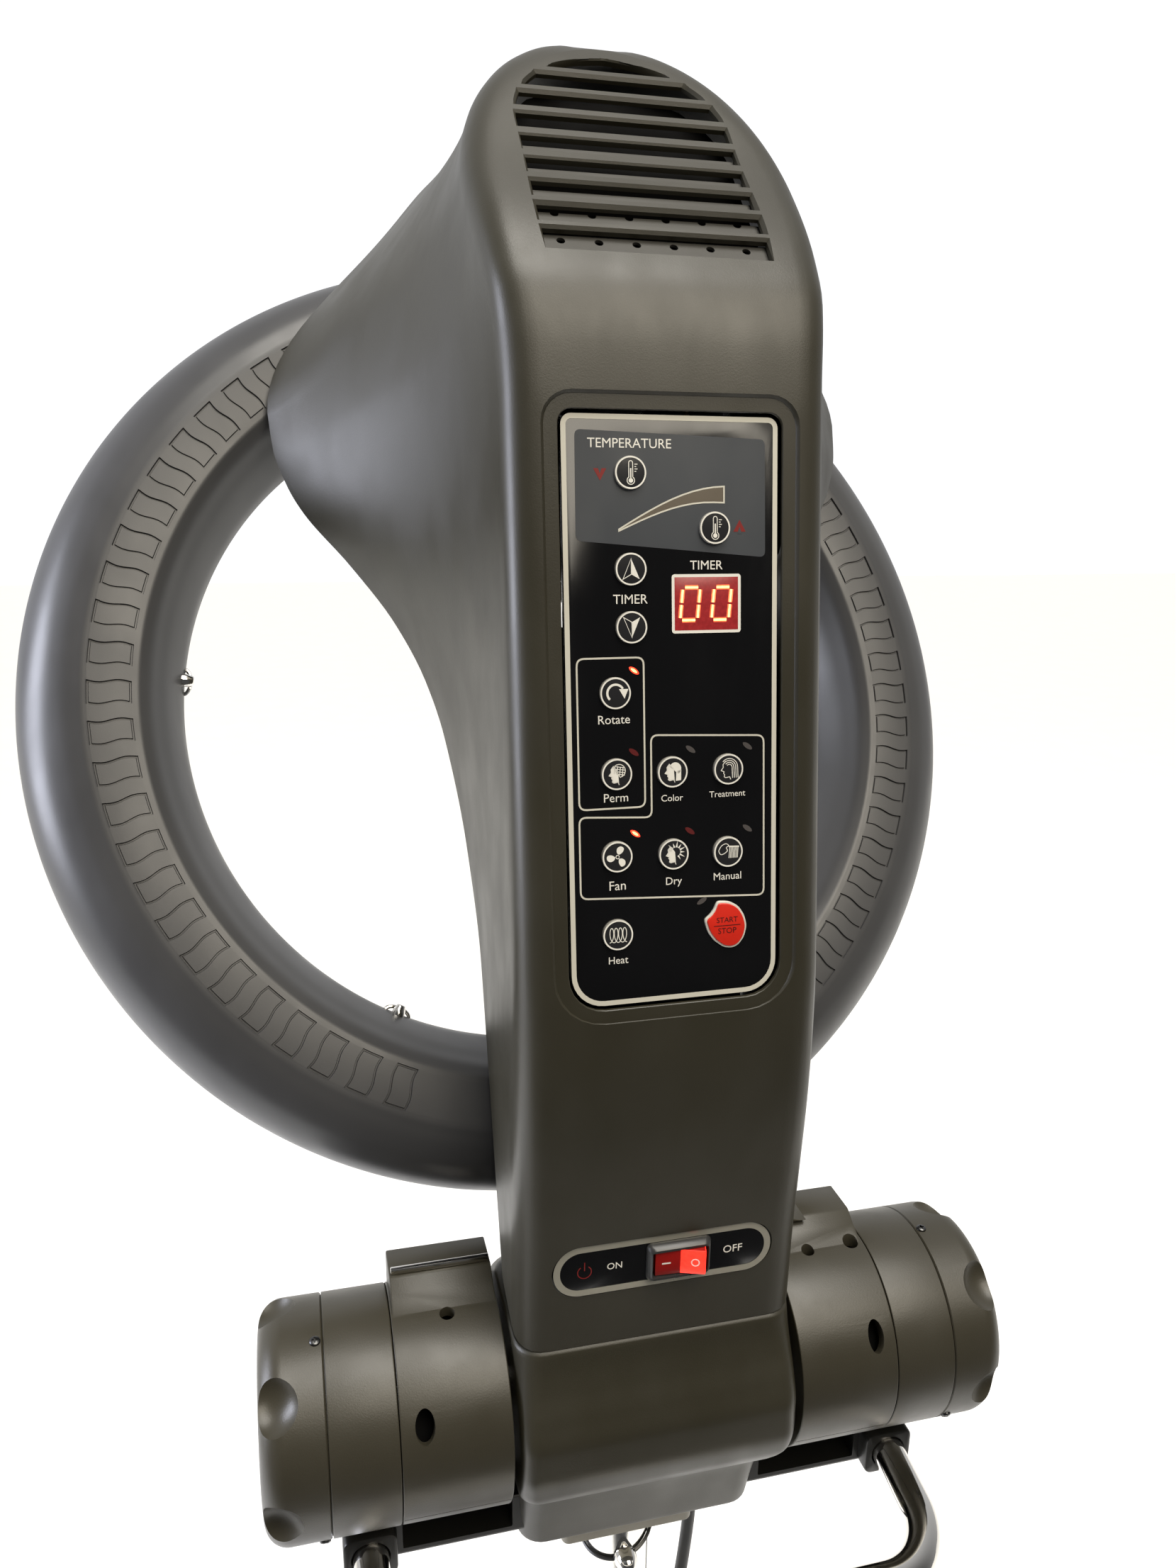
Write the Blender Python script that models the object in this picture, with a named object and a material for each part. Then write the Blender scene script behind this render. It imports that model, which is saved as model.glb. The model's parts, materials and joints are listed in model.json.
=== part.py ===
"""A standing halo hair dryer: a tilting head with a horn-shaped cowl, a ring heater that orbits behind it,
a drum hinge with two tension knobs, a push handle, a sliding mast and a five-legged base on casters.

Metres, +Z up. The operator stands at -Y, and the client sits at +Y. The origin is on the floor, under the
middle of the object's box. Shapes of the head are written from the tilt axis, with z along the control
panel, and the lean empty turns them forward into place.
"""

import math

import bmesh
import bpy
from mathutils import Matrix, Vector

# Where the main axes are
MAST_Y = -0.0248
DRUM_Y = MAST_Y - 0.020
DRUM_Z = 0.930
LEAN = math.radians(8)
GAP = 0.0003

# The head's housing
WALL = 0.003
FACE_HALF = 0.066
CORNER_R = 0.015
FOOT_Z = (0.0425, 0.0602)
MOUTH_Z = 0.468
MOUTH_Y = 0.101
MOUTH_R = 0.1517
MOUTH_SLOPE = math.radians(16.9)
MOUTH_PINCH = 0.235
NECK_TOP_Z = 0.22
NECK_SLOPE = 0.238
COVER_S = (-0.0045, -0.0015)
ARCH_Z = 0.54
ARCH_HALF = 0.071
ARCH_RISE = 0.0843
FLARE = 1.55
FACE_PROFILE = [  # (z, y) up the middle of the face
    (0.0425, -0.0473), (0.083, -0.0545), (0.120, -0.0625), (0.156, -0.0700), (0.190, -0.0748),
    (0.215, -0.0767), (0.260, -0.0770), (0.440, -0.0770), (0.468, -0.0760), (0.488, -0.0725),
    (0.508, -0.0616), (0.555, -0.0249), (0.6027, 0.0119), (0.613, 0.0215), (0.6214, 0.0320),
    (0.6243, 0.0426),
]
RIM_HALF = [  # (z, half width) of the housing's back edge, up to where it joins the round mouth
    (0.060, 0.0660), (0.200, 0.0662), (0.255, 0.0690), (0.308, 0.0760), (0.336, 0.0835),
    (0.364, 0.0965), (0.392, 0.1160), (0.418, 0.1370), (0.431, 0.1440), (0.450, 0.1500),
    (0.468, 0.1517),
]
SLOTS = 9
SLOT_PITCH = 0.01515
SLOT_HEIGHT = 0.0097
SLOT_FIRST = (-0.0616, 0.5080)
GRILLE_SLOPE = math.radians(38)

# The control panel and its keys
PANEL_HALF = 0.0444
PANEL_Z = (0.2080, 0.4420)
PANEL_Y = -0.0737
PANEL_THICK = 0.0030
KEY_R = 0.0063
KEY_PROUD = 0.0008
KEY_DEPTH = 0.0036
KEYS = {  # (x, z) of each round key
    "temperature_down_key": (-0.0170, 0.4198), "temperature_up_key": (0.0173, 0.3990),
    "timer_up_key": (-0.0173, 0.3833), "timer_down_key": (-0.0173, 0.3609),
    "rotate_key": (-0.0243, 0.3354), "perm_key": (-0.0242, 0.3033),
    "color_key": (-0.0010, 0.3031), "treatment_key": (0.0228, 0.3031),
    "fan_key": (-0.0245, 0.2700), "dry_key": (-0.0008, 0.2695),
    "manual_key": (0.0226, 0.2690), "heat_key": (-0.0247, 0.2379),
}
START_KEY = (0.0220, 0.2382)
START_SHAPE = [  # the key's edge from its top point clockwise to its left point, and the bite between them
    (-0.0037, 0.0094), (0.0010, 0.0089), (0.0047, 0.0068), (0.0070, 0.0031), (0.0080, -0.0010),
    (0.0070, -0.0052), (0.0047, -0.0082), (0.0021, -0.0091), (-0.0010, -0.0086), (-0.0047, -0.0058),
    (-0.0073, -0.0021), (-0.0088, 0.0026), (-0.0063, 0.0042), (-0.0047, 0.0063),
]
WINDOW_BOX = (0.0004, 0.0277, 0.3589, 0.3804)

# The power switch
SWITCH_Z = 0.0890
SWITCH_Y = -0.0422
SWITCH_HALF = 0.0510
SWITCH_R = 0.0130
ROCKER = (0.0250, 0.0120, 0.0120)
ROCKER_X = 0.0065

# The ring heater
RING_S = 0.0535
RING_R = 0.212
RING_TUBE = 0.038
RING_DROP = 0.1445
PARK_ANGLE = math.radians(8.7)
ORBIT_YAW = math.radians(4.5)
HUB_R = 0.0900
QUARTZ_R = 0.0055

# The drum hinge
DRUM_R = 0.0515
DRUM_WALL = 0.0055
SLEEVE_X = (0.0690, 0.1184)
BEARING_X = (0.1187, 0.1488)
KNOB_X = (0.1492, 0.1780)
SHAFT_R = 0.0120
COVER_HALF = 0.0660
BARREL_R = 0.0560
SEAM_Z = 0.0483
SADDLE_Z = 0.0600
SADDLE_BACK = 0.0300

# The bracket, handle and mast
BAR_Y = (-0.0175, 0.0040)
BAR_Z = (-0.0750, -0.0528)
EAR_X = 0.1325
HANDLE_R = 0.0085
HANDLE_REACH = 0.0600
HANDLE_FALL = 0.0100
HANDLE_BEND = 0.0300
SKIRT_BOTTOM = -0.0830
COLLAR_BOTTOM = -0.1080
MAST_R = 0.0180
TUBE_R = 0.0225
TUBE_TOP = 0.5600
MAST_FOOT = 0.2600

# The base
LEG_REACH = 0.2900
HUB_BASE_R = 0.0480
CASTER_TRAIL = 0.0180
WHEEL_R = 0.0250
WHEEL_HALF = 0.0085
LEG_Z = (0.0640, 0.0900)

# The mains lead
LEAD_R = 0.0035
COIL_PLACE = (0.1250, 0.1701)
COIL_R = 0.0350
COIL_TURNS_R = 0.0105
GLAND = (0.0460, 0.0300)
PLUG_PLACE = (0.2090, 0.1651, 0.0004)
PLUG_TURN = math.radians(15)
PIN_SPREAD = 0.0062
LEAD_ROUTE = [  # from the gland under the head down past the mast to the floor, and along it to the coil
    (0.0460, -0.0148, 0.8020), (0.0459, -0.0148, 0.7880), (0.0440, -0.0144, 0.7600),
    (0.0405, -0.0134, 0.7200), (0.0385, -0.0114, 0.6700), (0.0390, -0.0079, 0.6000),
    (0.0430, -0.0009, 0.5100), (0.0490, 0.0091, 0.4200), (0.0550, 0.0211, 0.3300),
    (0.0610, 0.0341, 0.2400), (0.0660, 0.0481, 0.1600), (0.0700, 0.0611, 0.0950),
    (0.0725, 0.0741, 0.0460), (0.0740, 0.0871, 0.0160), (0.0750, 0.1011, 0.0052),
    (0.0757, 0.1171, 0.0038), (0.0764, 0.1351, 0.0038), (0.0772, 0.1551, 0.0038),
]


# ---------------------------------------------------------------- helpers

def clear_scene():
    for item in list(bpy.data.objects):
        bpy.data.objects.remove(item)


def material(name, color, roughness, metallic=0.0):
    made = bpy.data.materials.new(name)
    made.use_nodes = True
    shader = made.node_tree.nodes["Principled BSDF"]
    shader.inputs["Base Color"].default_value = (*color, 1.0)
    shader.inputs["Roughness"].default_value = roughness
    shader.inputs["Metallic"].default_value = metallic
    return made


def empty(name, place, turn=(0, 0, 0), parent=None):
    made = bpy.data.objects.new(name, None)
    bpy.context.scene.collection.objects.link(made)
    made.parent = parent
    made.location = place
    made.rotation_euler = turn
    return made


def add(name, shape, look, parent=None, place=(0, 0, 0), turn=(0, 0, 0), sharp=35):
    """One named solid from a bmesh, which is used up."""
    bmesh.ops.remove_doubles(shape, verts=shape.verts, dist=1e-6)
    bmesh.ops.recalc_face_normals(shape, faces=shape.faces)
    mesh = bpy.data.meshes.new(name)
    shape.to_mesh(mesh)
    shape.free()
    mesh.shade_smooth()
    mesh.set_sharp_from_angle(angle=math.radians(sharp))
    made = bpy.data.objects.new(name, mesh)
    bpy.context.scene.collection.objects.link(made)
    made.parent = parent
    made.location = place
    made.rotation_euler = turn
    if look:
        mesh.materials.append(look)
    return made


def tool(shape, parent=None, place=(0, 0, 0), turn=(0, 0, 0)):
    """A solid that only cuts or joins others."""
    made = add("tool", shape, None, parent, place, turn)
    made.hide_render = True
    made.display_type = "WIRE"
    return made


def cut(target, cutter, operation="DIFFERENCE"):
    step = target.modifiers.new(operation.lower(), "BOOLEAN")
    step.operation = operation
    step.solver = "EXACT"
    step.object = cutter


def join(target, other):
    cut(target, other, "UNION")


def merged(*shapes):
    """Several bmeshes as one, for a cutter with many separate blocks."""
    whole = bmesh.new()
    for shape in shapes:
        mesh = bpy.data.meshes.new("block")
        bmesh.ops.recalc_face_normals(shape, faces=shape.faces)
        shape.to_mesh(mesh)
        shape.free()
        whole.from_mesh(mesh)
        bpy.data.meshes.remove(mesh)
    return whole


AXES = {"x": (1, 2, 0), "y": (0, 2, 1), "z": (0, 1, 2)}


def prism(outline, low, high, axis):
    """A 2-D outline pushed along an axis; the outline's numbers are the other two coordinates, in order."""
    a, b, along = AXES[axis]
    shape = bmesh.new()
    rings = []
    for level in (low, high):
        ring = []
        for u, v in outline:
            place = [0, 0, 0]
            place[a], place[b], place[along] = u, v, level
            ring.append(shape.verts.new(place))
        rings.append(ring)
    shape.faces.new(rings[0])
    shape.faces.new(rings[1])
    for i in range(len(outline)):
        j = (i + 1) % len(outline)
        shape.faces.new((rings[0][i], rings[0][j], rings[1][j], rings[1][i]))
    return shape


def block(low, high):
    return prism([(low[0], low[1]), (high[0], low[1]), (high[0], high[1]), (low[0], high[1])],
                 low[2], high[2], "z")


def arc(center, radius, start, end, steps):
    """Points on an arc, in degrees, both ends included."""
    turns = [math.radians(start + (end - start) * i / steps) for i in range(steps + 1)]
    return [(center[0] + radius * math.cos(t), center[1] + radius * math.sin(t)) for t in turns]


def round_box(half_u, half_v, radius, steps=3, center=(0, 0)):
    points = []
    for side, (su, sv) in enumerate(((1, 1), (-1, 1), (-1, -1), (1, -1))):
        middle = (center[0] + su * (half_u - radius), center[1] + sv * (half_v - radius))
        points += arc(middle, radius, 90 * side, 90 * side + 90, steps)
    return points


def turned(profile, steps, axis="z"):
    """A closed profile of (along, radius) points turned about an axis."""
    a, b, along = AXES[axis]
    shape = bmesh.new()
    rings = []
    for level, radius in profile:
        count = steps if radius > 0 else 1
        ring = []
        for i in range(count):
            t = math.tau * i / steps
            place = [0, 0, 0]
            place[a], place[b], place[along] = radius * math.cos(t), radius * math.sin(t), level
            ring.append(shape.verts.new(place))
        rings.append(ring)
    for here, there in zip(rings, rings[1:] + rings[:1]):
        for i in range(steps):
            j = (i + 1) % steps
            corners = []
            for vert in (here[i % len(here)], here[j % len(here)],
                         there[j % len(there)], there[i % len(there)]):
                if vert not in corners:
                    corners.append(vert)
            if len(corners) > 2:
                shape.faces.new(corners)
    return shape


def rod(radius, low, high, steps=16, axis="z"):
    return turned([(low, 0), (low, radius), (high, radius), (high, 0)], steps, axis)


def pipe(outer, inner, low, high, steps=24, axis="z"):
    return turned([(low, outer), (high, outer), (high, inner), (low, inner)], steps, axis)


def swept(path, radius, sides=8):
    """A round bar along points, with flat ends."""
    path = [Vector(p) for p in path]
    shape = bmesh.new()
    rings = []
    normal = None
    for i, point in enumerate(path):
        ahead = path[min(i + 1, len(path) - 1)] - path[max(i - 1, 0)]
        ahead.normalize()
        if normal is None:
            normal = ahead.orthogonal().normalized()
        normal = (normal - ahead * normal.dot(ahead)).normalized()
        across = ahead.cross(normal)
        rings.append([
            shape.verts.new(point + radius * (math.cos(t) * normal + math.sin(t) * across))
            for t in (math.tau * k / sides for k in range(sides))
        ])
    for here, there in zip(rings, rings[1:]):
        for i in range(sides):
            j = (i + 1) % sides
            shape.faces.new((here[i], here[j], there[j], there[i]))
    shape.faces.new(rings[0])
    shape.faces.new(rings[-1])
    return shape


def through(points, at):
    """A smooth curve through (x, y) points, read at one x, with no overshoot."""
    if at <= points[0][0]:
        return points[0][1]
    if at >= points[-1][0]:
        return points[-1][1]
    slopes = [(b[1] - a[1]) / (b[0] - a[0]) for a, b in zip(points, points[1:])]
    k = next(i for i, (a, b) in enumerate(zip(points, points[1:])) if at <= b[0])

    def tangent(i):
        if i == 0 or i == len(points) - 1:
            return slopes[min(i, len(slopes) - 1)]
        before, after = slopes[i - 1], slopes[i]
        return 0 if before * after <= 0 else 2 * before * after / (before + after)

    (x0, y0), (x1, y1) = points[k], points[k + 1]
    wide = x1 - x0
    t = (at - x0) / wide
    return (y0 * (1 + 2 * t) * (1 - t) ** 2 + tangent(k) * wide * t * (1 - t) ** 2
            + y1 * t * t * (3 - 2 * t) + tangent(k + 1) * wide * t * t * (t - 1))


def smooth_path(route, step):
    """Points about step apart on a Catmull-Rom curve through the route."""
    route = [Vector(p) for p in route]
    ends = [2 * route[0] - route[1], *route, 2 * route[-1] - route[-2]]
    fine = []
    for a, b, c, d in zip(ends, ends[1:], ends[2:], ends[3:]):
        for i in range(12):
            t = i / 12
            fine.append(0.5 * ((2 * b) + (c - a) * t + (2 * a - 5 * b + 4 * c - d) * t * t
                               + (3 * b - 3 * c + d - a) * t ** 3))
    fine.append(route[-1])
    kept = [fine[0]]
    for point in fine[1:-1]:
        if (point - kept[-1]).length >= step:
            kept.append(point)
    kept.append(fine[-1])
    return kept


# ---------------------------------------------------------------- the head's shape

def face_y(z):
    return through(FACE_PROFILE, z)


def mouth_point(u, v, s=0.0):
    """A point from the mouth's centre: u to the right, v up the mouth's plane, s out towards the client."""
    c, n = math.cos(MOUTH_SLOPE), math.sin(MOUTH_SLOPE)
    return Vector((u, MOUTH_Y + v * n + s * c, MOUTH_Z + v * c - s * n))


def upper_rim(t, radius=MOUTH_R):
    """The mouth's edge from its widest place (t = 0) to its top: a circle pinched in at the shoulder."""
    return radius * math.cos(t) * (1 - MOUTH_PINCH * math.sin(2 * t) ** 2), radius * math.sin(t)


def rim_y(z):
    plane = MOUTH_Y + (z - MOUTH_Z) * math.tan(MOUTH_SLOPE)
    neck = MOUTH_Y + (NECK_TOP_Z - MOUTH_Z) * math.tan(MOUTH_SLOPE) + NECK_SLOPE * (z - NECK_TOP_Z)
    return plane if z > NECK_TOP_Z else neck


def face_half(z):
    grow = min(max((z - 0.45) / (ARCH_Z - 0.45), 0), 1)
    return FACE_HALF + (ARCH_HALF - FACE_HALF) * grow * grow * (3 - 2 * grow)


def housing_rows(body_rows, arch_rows):
    """For each row up the housing: the face edge, the point inset from it, and the back edge's point."""
    rows = []
    for i in range(body_rows + 1):
        z = FOOT_Z[0] + (ARCH_Z - FOOT_Z[0]) * i / body_rows
        low = FOOT_Z[1] + (z - FOOT_Z[0]) * (0.400 - FOOT_Z[1]) / (0.400 - FOOT_Z[0])
        rim_z = low if z < 0.400 else 0.400 + (z - 0.400) * (MOUTH_Z - 0.400) / (ARCH_Z - 0.400)
        half = face_half(z)
        rows.append((Vector((half, face_y(z), z)), Vector((half - CORNER_R, face_y(z), z)),
                     Vector((through(RIM_HALF, rim_z), rim_y(rim_z), rim_z))))
    for i in range(1, arch_rows + 1):
        t = math.pi / 2 * i / arch_rows
        c, n = math.cos(t), math.sin(t)
        z, inset_z = ARCH_Z + ARCH_RISE * n, ARCH_Z + (ARCH_RISE - CORNER_R * 0.7) * n
        rows.append((Vector((ARCH_HALF * c, face_y(z), z)),
                     Vector(((ARCH_HALF - CORNER_R) * c, face_y(inset_z), inset_z)),
                     mouth_point(*upper_rim(t))))
    return rows


def housing_section(row, face_steps, corner_steps, side_steps):
    """Half a row's points, from the face's middle line round the corner to the back edge."""
    edge, inset, rim = row
    start = edge + (rim - edge).normalized() * CORNER_R
    start.x = edge.x
    points = [Vector((inset.x * i / face_steps, inset.y, inset.z)) for i in range(face_steps)]
    for i in range(corner_steps + 1):
        t = i / corner_steps
        points.append(inset * (1 - t) ** 2 + edge * 2 * t * (1 - t) + start * t * t)
    for i in range(1, side_steps + 1):
        t = i / side_steps
        place = start.lerp(rim, t)
        place.x = start.x + (rim.x - start.x) * t ** FLARE
        points.append(place)
    return points


def housing_sheet(body_rows=13, arch_rows=6, face_steps=1, corner_steps=2, side_steps=5):
    """The housing's outer skin, open at the back and below."""
    shape = bmesh.new()
    grid = []
    for row in housing_rows(body_rows, arch_rows):
        half = housing_section(row, face_steps, corner_steps, side_steps)
        whole = [Vector((-p.x, p.y, p.z)) for p in reversed(half[1:])] + half
        grid.append([shape.verts.new(p) for p in whole])
    for here, there in zip(grid, grid[1:]):
        for i in range(len(here) - 1):
            shape.faces.new((here[i], here[i + 1], there[i + 1], there[i]))
    bmesh.ops.remove_doubles(shape, verts=shape.verts, dist=1e-6)
    bmesh.ops.dissolve_degenerate(shape, edges=shape.edges, dist=1e-6)
    return shape


def slot_half(k):
    """Half the width of grille slot k, counted from the bottom one."""
    return (0.046, 0.046, 0.046, 0.046, 0.046, 0.046, 0.044, 0.038, 0.025)[k]


def grille_point(k):
    along = k * SLOT_PITCH
    return Vector((0, SLOT_FIRST[0] + along * math.sin(GRILLE_SLOPE),
                   SLOT_FIRST[1] + along * math.cos(GRILLE_SLOPE)))


def make_head_shell(lean, axis, plastic):
    shell = add("head_shell", housing_sheet(), plastic, lean)
    skin = shell.modifiers.new("wall", "SOLIDIFY")
    skin.thickness = WALL
    skin.offset = -1
    skin.use_even_offset = True
    slots = []
    for k in range(SLOTS):
        half = slot_half(k)
        slot = block((-half, -SLOT_HEIGHT / 2, -0.012), (half, SLOT_HEIGHT / 2, 0.012))
        lay = Matrix.Translation(grille_point(k)) @ Matrix.Rotation(math.pi / 2 - GRILLE_SLOPE, 4, "X")
        bmesh.ops.transform(slot, matrix=lay, verts=slot.verts)
        slots.append(slot)
    cut(shell, tool(merged(*slots), lean))
    middle = (0, (PANEL_Z[0] + PANEL_Z[1]) / 2)
    window = round_box(PANEL_HALF, (PANEL_Z[1] - PANEL_Z[0]) / 2, 0.006, 2, middle)
    cut(shell, tool(prism(window, -0.085, -0.066, "y"), lean))
    stadium = round_box(SWITCH_HALF, SWITCH_R, SWITCH_R - 1e-4, 4, (0, SWITCH_Z))
    cut(shell, tool(prism(stadium, -0.050, -0.033, "y"), axis))


def make_rear_cover(lean, plastic):
    """The plate that closes the housing's back, with its round opening for the hub and its air slots."""
    inset, flared = WALL + 0.0012, WALL + 0.0072
    low = NECK_TOP_Z + 0.004
    right = []
    for i in range(13):
        z = low + (MOUTH_Z - low) * i / 13
        half = through(RIM_HALF, z)
        share = min(2 * (half - FACE_HALF) / (MOUTH_R - FACE_HALF), 1)
        right.append((half - inset - (flared - inset) * share, (z - MOUTH_Z) / math.cos(MOUTH_SLOPE)))
    right += [upper_rim(math.pi / 2 * i / 8, MOUTH_R - flared) for i in range(9)]
    outline = right + [(-u, v) for u, v in reversed(right[:-1])]
    stand = Matrix.Translation(mouth_point(0, 0)) @ mouth_turn()
    plate = prism(outline, *COVER_S, "z")
    bmesh.ops.transform(plate, matrix=stand, verts=plate.verts)
    cover = add("rear_cover", plate, plastic, lean)
    foot, top = 0.0680, low + 0.004
    neck = [(rim_y(foot) + COVER_S[0], foot), (rim_y(foot) + COVER_S[1], foot),
            (rim_y(top) + COVER_S[1] - 0.0002, top), (rim_y(top) + COVER_S[0] - 0.0002, top)]
    join(cover, tool(prism(neck, -FACE_HALF + inset, FACE_HALF - inset, "x"), lean))
    cuts = [rod(HUB_R + 0.0015, -0.010, 0.010, 32)]
    for k in range(8):
        a = 45 * k + 5
        sector = arc((0, 0), 0.1150, a, a + 35, 3) + arc((0, 0), 0.1010, a + 35, a, 3)
        cuts.append(prism(sector, -0.010, 0.010, "z"))
    openings = merged(*cuts)
    bmesh.ops.transform(openings, matrix=stand, verts=openings.verts)
    cut(cover, tool(openings, lean))


def mouth_turn():
    """Turns +Z to point out of the mouth, towards the client, and +Y up its plane."""
    return Matrix.Rotation(-(math.pi / 2 + MOUTH_SLOPE), 4, "X") @ Matrix.Rotation(math.pi, 4, "Z")


# ---------------------------------------------------------------- what the head holds

def make_head_frame(lean, axis, steel):
    """The tilt plate, the spine that stands on it and the plate that carries the orbit motor."""
    low, high = SADDLE_Z + GAP, SADDLE_Z + 0.0033
    frame = add("head_frame", block((-0.1172, 0.012, low), (0.1172, SADDLE_BACK, high)), steel, axis)
    join(frame, tool(block((-0.045, -0.0240, low), (0.045, 0.0200, high)), axis))
    join(frame, tool(block((-0.020, -0.0280, 0.0610), (0.020, -0.0170, 0.3000)), lean))
    carrier = block((-0.034, -0.2180, -0.0680), (0.034, 0.0340, -0.0650))
    bmesh.ops.transform(carrier, matrix=Matrix.Translation(mouth_point(0, 0)) @ mouth_turn(),
                        verts=carrier.verts)
    join(frame, tool(carrier, lean))


def make_drives(orbit_axis, mouth, steel, motor_gray, dark, copper):
    add("orbit_gearmotor",
        turned([(-0.0606, 0), (-0.0606, 0.030), (-0.0300, 0.030), (-0.0300, 0.022), (-0.0085, 0.022),
                (-0.0085, 0.0064), (-0.0200, 0.0064), (-0.0200, 0)], 20), motor_gray, orbit_axis)
    add("fan_motor",
        turned([(-0.1420, 0), (-0.1420, 0.024), (-0.1120, 0.024), (-0.1120, 0.006), (-0.1040, 0.006),
                (-0.1040, 0)], 20), steel, mouth)
    hub = add("fan_rotor",
              turned([(-0.1036, 0), (-0.1036, 0.018), (-0.0800, 0.014), (-0.0800, 0)], 14), dark, mouth)
    for k in range(6):
        blade = block((0.012, -0.0008, -0.0095), (0.052, 0.0008, 0.0095))
        pitch = Matrix.Rotation(math.tau * k / 6, 4, "Z") @ Matrix.Translation((0, 0, -0.0925))
        pitch = pitch @ Matrix.Rotation(math.radians(55), 4, "X")
        bmesh.ops.transform(blade, matrix=pitch, verts=blade.verts)
        join(hub, tool(blade, mouth))
    path = []
    for i in range(33):
        t = math.radians(20 + 320 * i / 32)
        radius = 0.064 + 0.010 * math.cos(math.pi * i)
        path.append((radius * math.cos(t), radius * math.sin(t), -0.030))
    add("heater_coil", swept(path, 0.0020, 5), copper, mouth)


def make_control_panel(lean, gloss, glass, green):
    middle = (0, (PANEL_Z[0] + PANEL_Z[1]) / 2)
    outline = round_box(PANEL_HALF - GAP, (PANEL_Z[1] - PANEL_Z[0]) / 2 - GAP, 0.006, 2, middle)
    panel = add("control_panel", prism(outline, PANEL_Y, PANEL_Y + PANEL_THICK, "y"), gloss, lean)
    holes = [prism(arc(place, KEY_R + GAP, 0, 330, 11), -0.08, -0.06, "y") for place in KEYS.values()]
    holes.append(prism(start_outline(START_KEY, 2 * GAP), -0.08, -0.06, "y"))
    x0, x1, z0, z1 = WINDOW_BOX
    holes.append(prism([(x0, z0), (x1, z0), (x1, z1), (x0, z1)], -0.08, -0.06, "y"))
    cut(panel, tool(merged(*holes), lean))
    inset = [(x0 + GAP, z0 + GAP), (x1 - GAP, z0 + GAP), (x1 - GAP, z1 - GAP), (x0 + GAP, z1 - GAP)]
    add("display_window", prism(inset, PANEL_Y - 0.0002, PANEL_Y + 0.0024, "y"), glass, lean)
    board = [(-0.0400, 0.2240), (0.0400, 0.2240), (0.0400, 0.4330), (-0.0400, 0.4330)]
    add("control_board", prism(board, PANEL_Y + 0.0060, PANEL_Y + 0.0076, "y"), green, lean)


def start_outline(center, grow=0.0):
    """The start key's outline about a center, made larger all round."""
    outline = []
    for u, v in START_SHAPE:
        share = 1 + grow / math.hypot(u, v)
        outline.append((center[0] + u * share, center[1] + v * share))
    return outline


def make_keys(lean, black, red):
    front, back = -KEY_PROUD, KEY_DEPTH - KEY_PROUD
    for name, (x, z) in KEYS.items():
        outline = arc((0, 0), KEY_R, 0, 330, 11)
        add(name, prism(outline, front, back, "y"), black, lean, (x, PANEL_Y, z))
    x, z = START_KEY
    add("start_stop_key", prism(start_outline((0, 0)), front, back, "y"), red, lean, (x, PANEL_Y, z))


def make_switch(axis, gloss, red):
    stadium = round_box(SWITCH_HALF - GAP, SWITCH_R - GAP, SWITCH_R - GAP - 1e-4, 4, (0, SWITCH_Z))
    plate = add("switch_plate", prism(stadium, SWITCH_Y, SWITCH_Y + 0.0030, "y"), gloss, axis)
    wide, deep, tall = ROCKER
    hole = block((ROCKER_X - wide / 2 - 0.0012, -0.07, SWITCH_Z - tall / 2 - 0.0006),
                 (ROCKER_X + wide / 2 + 0.0012, -0.02, SWITCH_Z + tall / 2 + 0.0006))
    cut(plate, tool(hole, axis))
    rock = [(-wide / 2, -0.0010), (0, -0.0002), (wide / 2, -0.0030), (wide / 2 - 0.001, 0.0060),
            (0.004, 0.0110), (-0.004, 0.0110), (-wide / 2 + 0.001, 0.0080)]
    add("power_rocker", prism(rock, -tall / 2, tall / 2, "z"), red, axis, (ROCKER_X, SWITCH_Y, SWITCH_Z))


# ---------------------------------------------------------------- the ring heater

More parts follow.
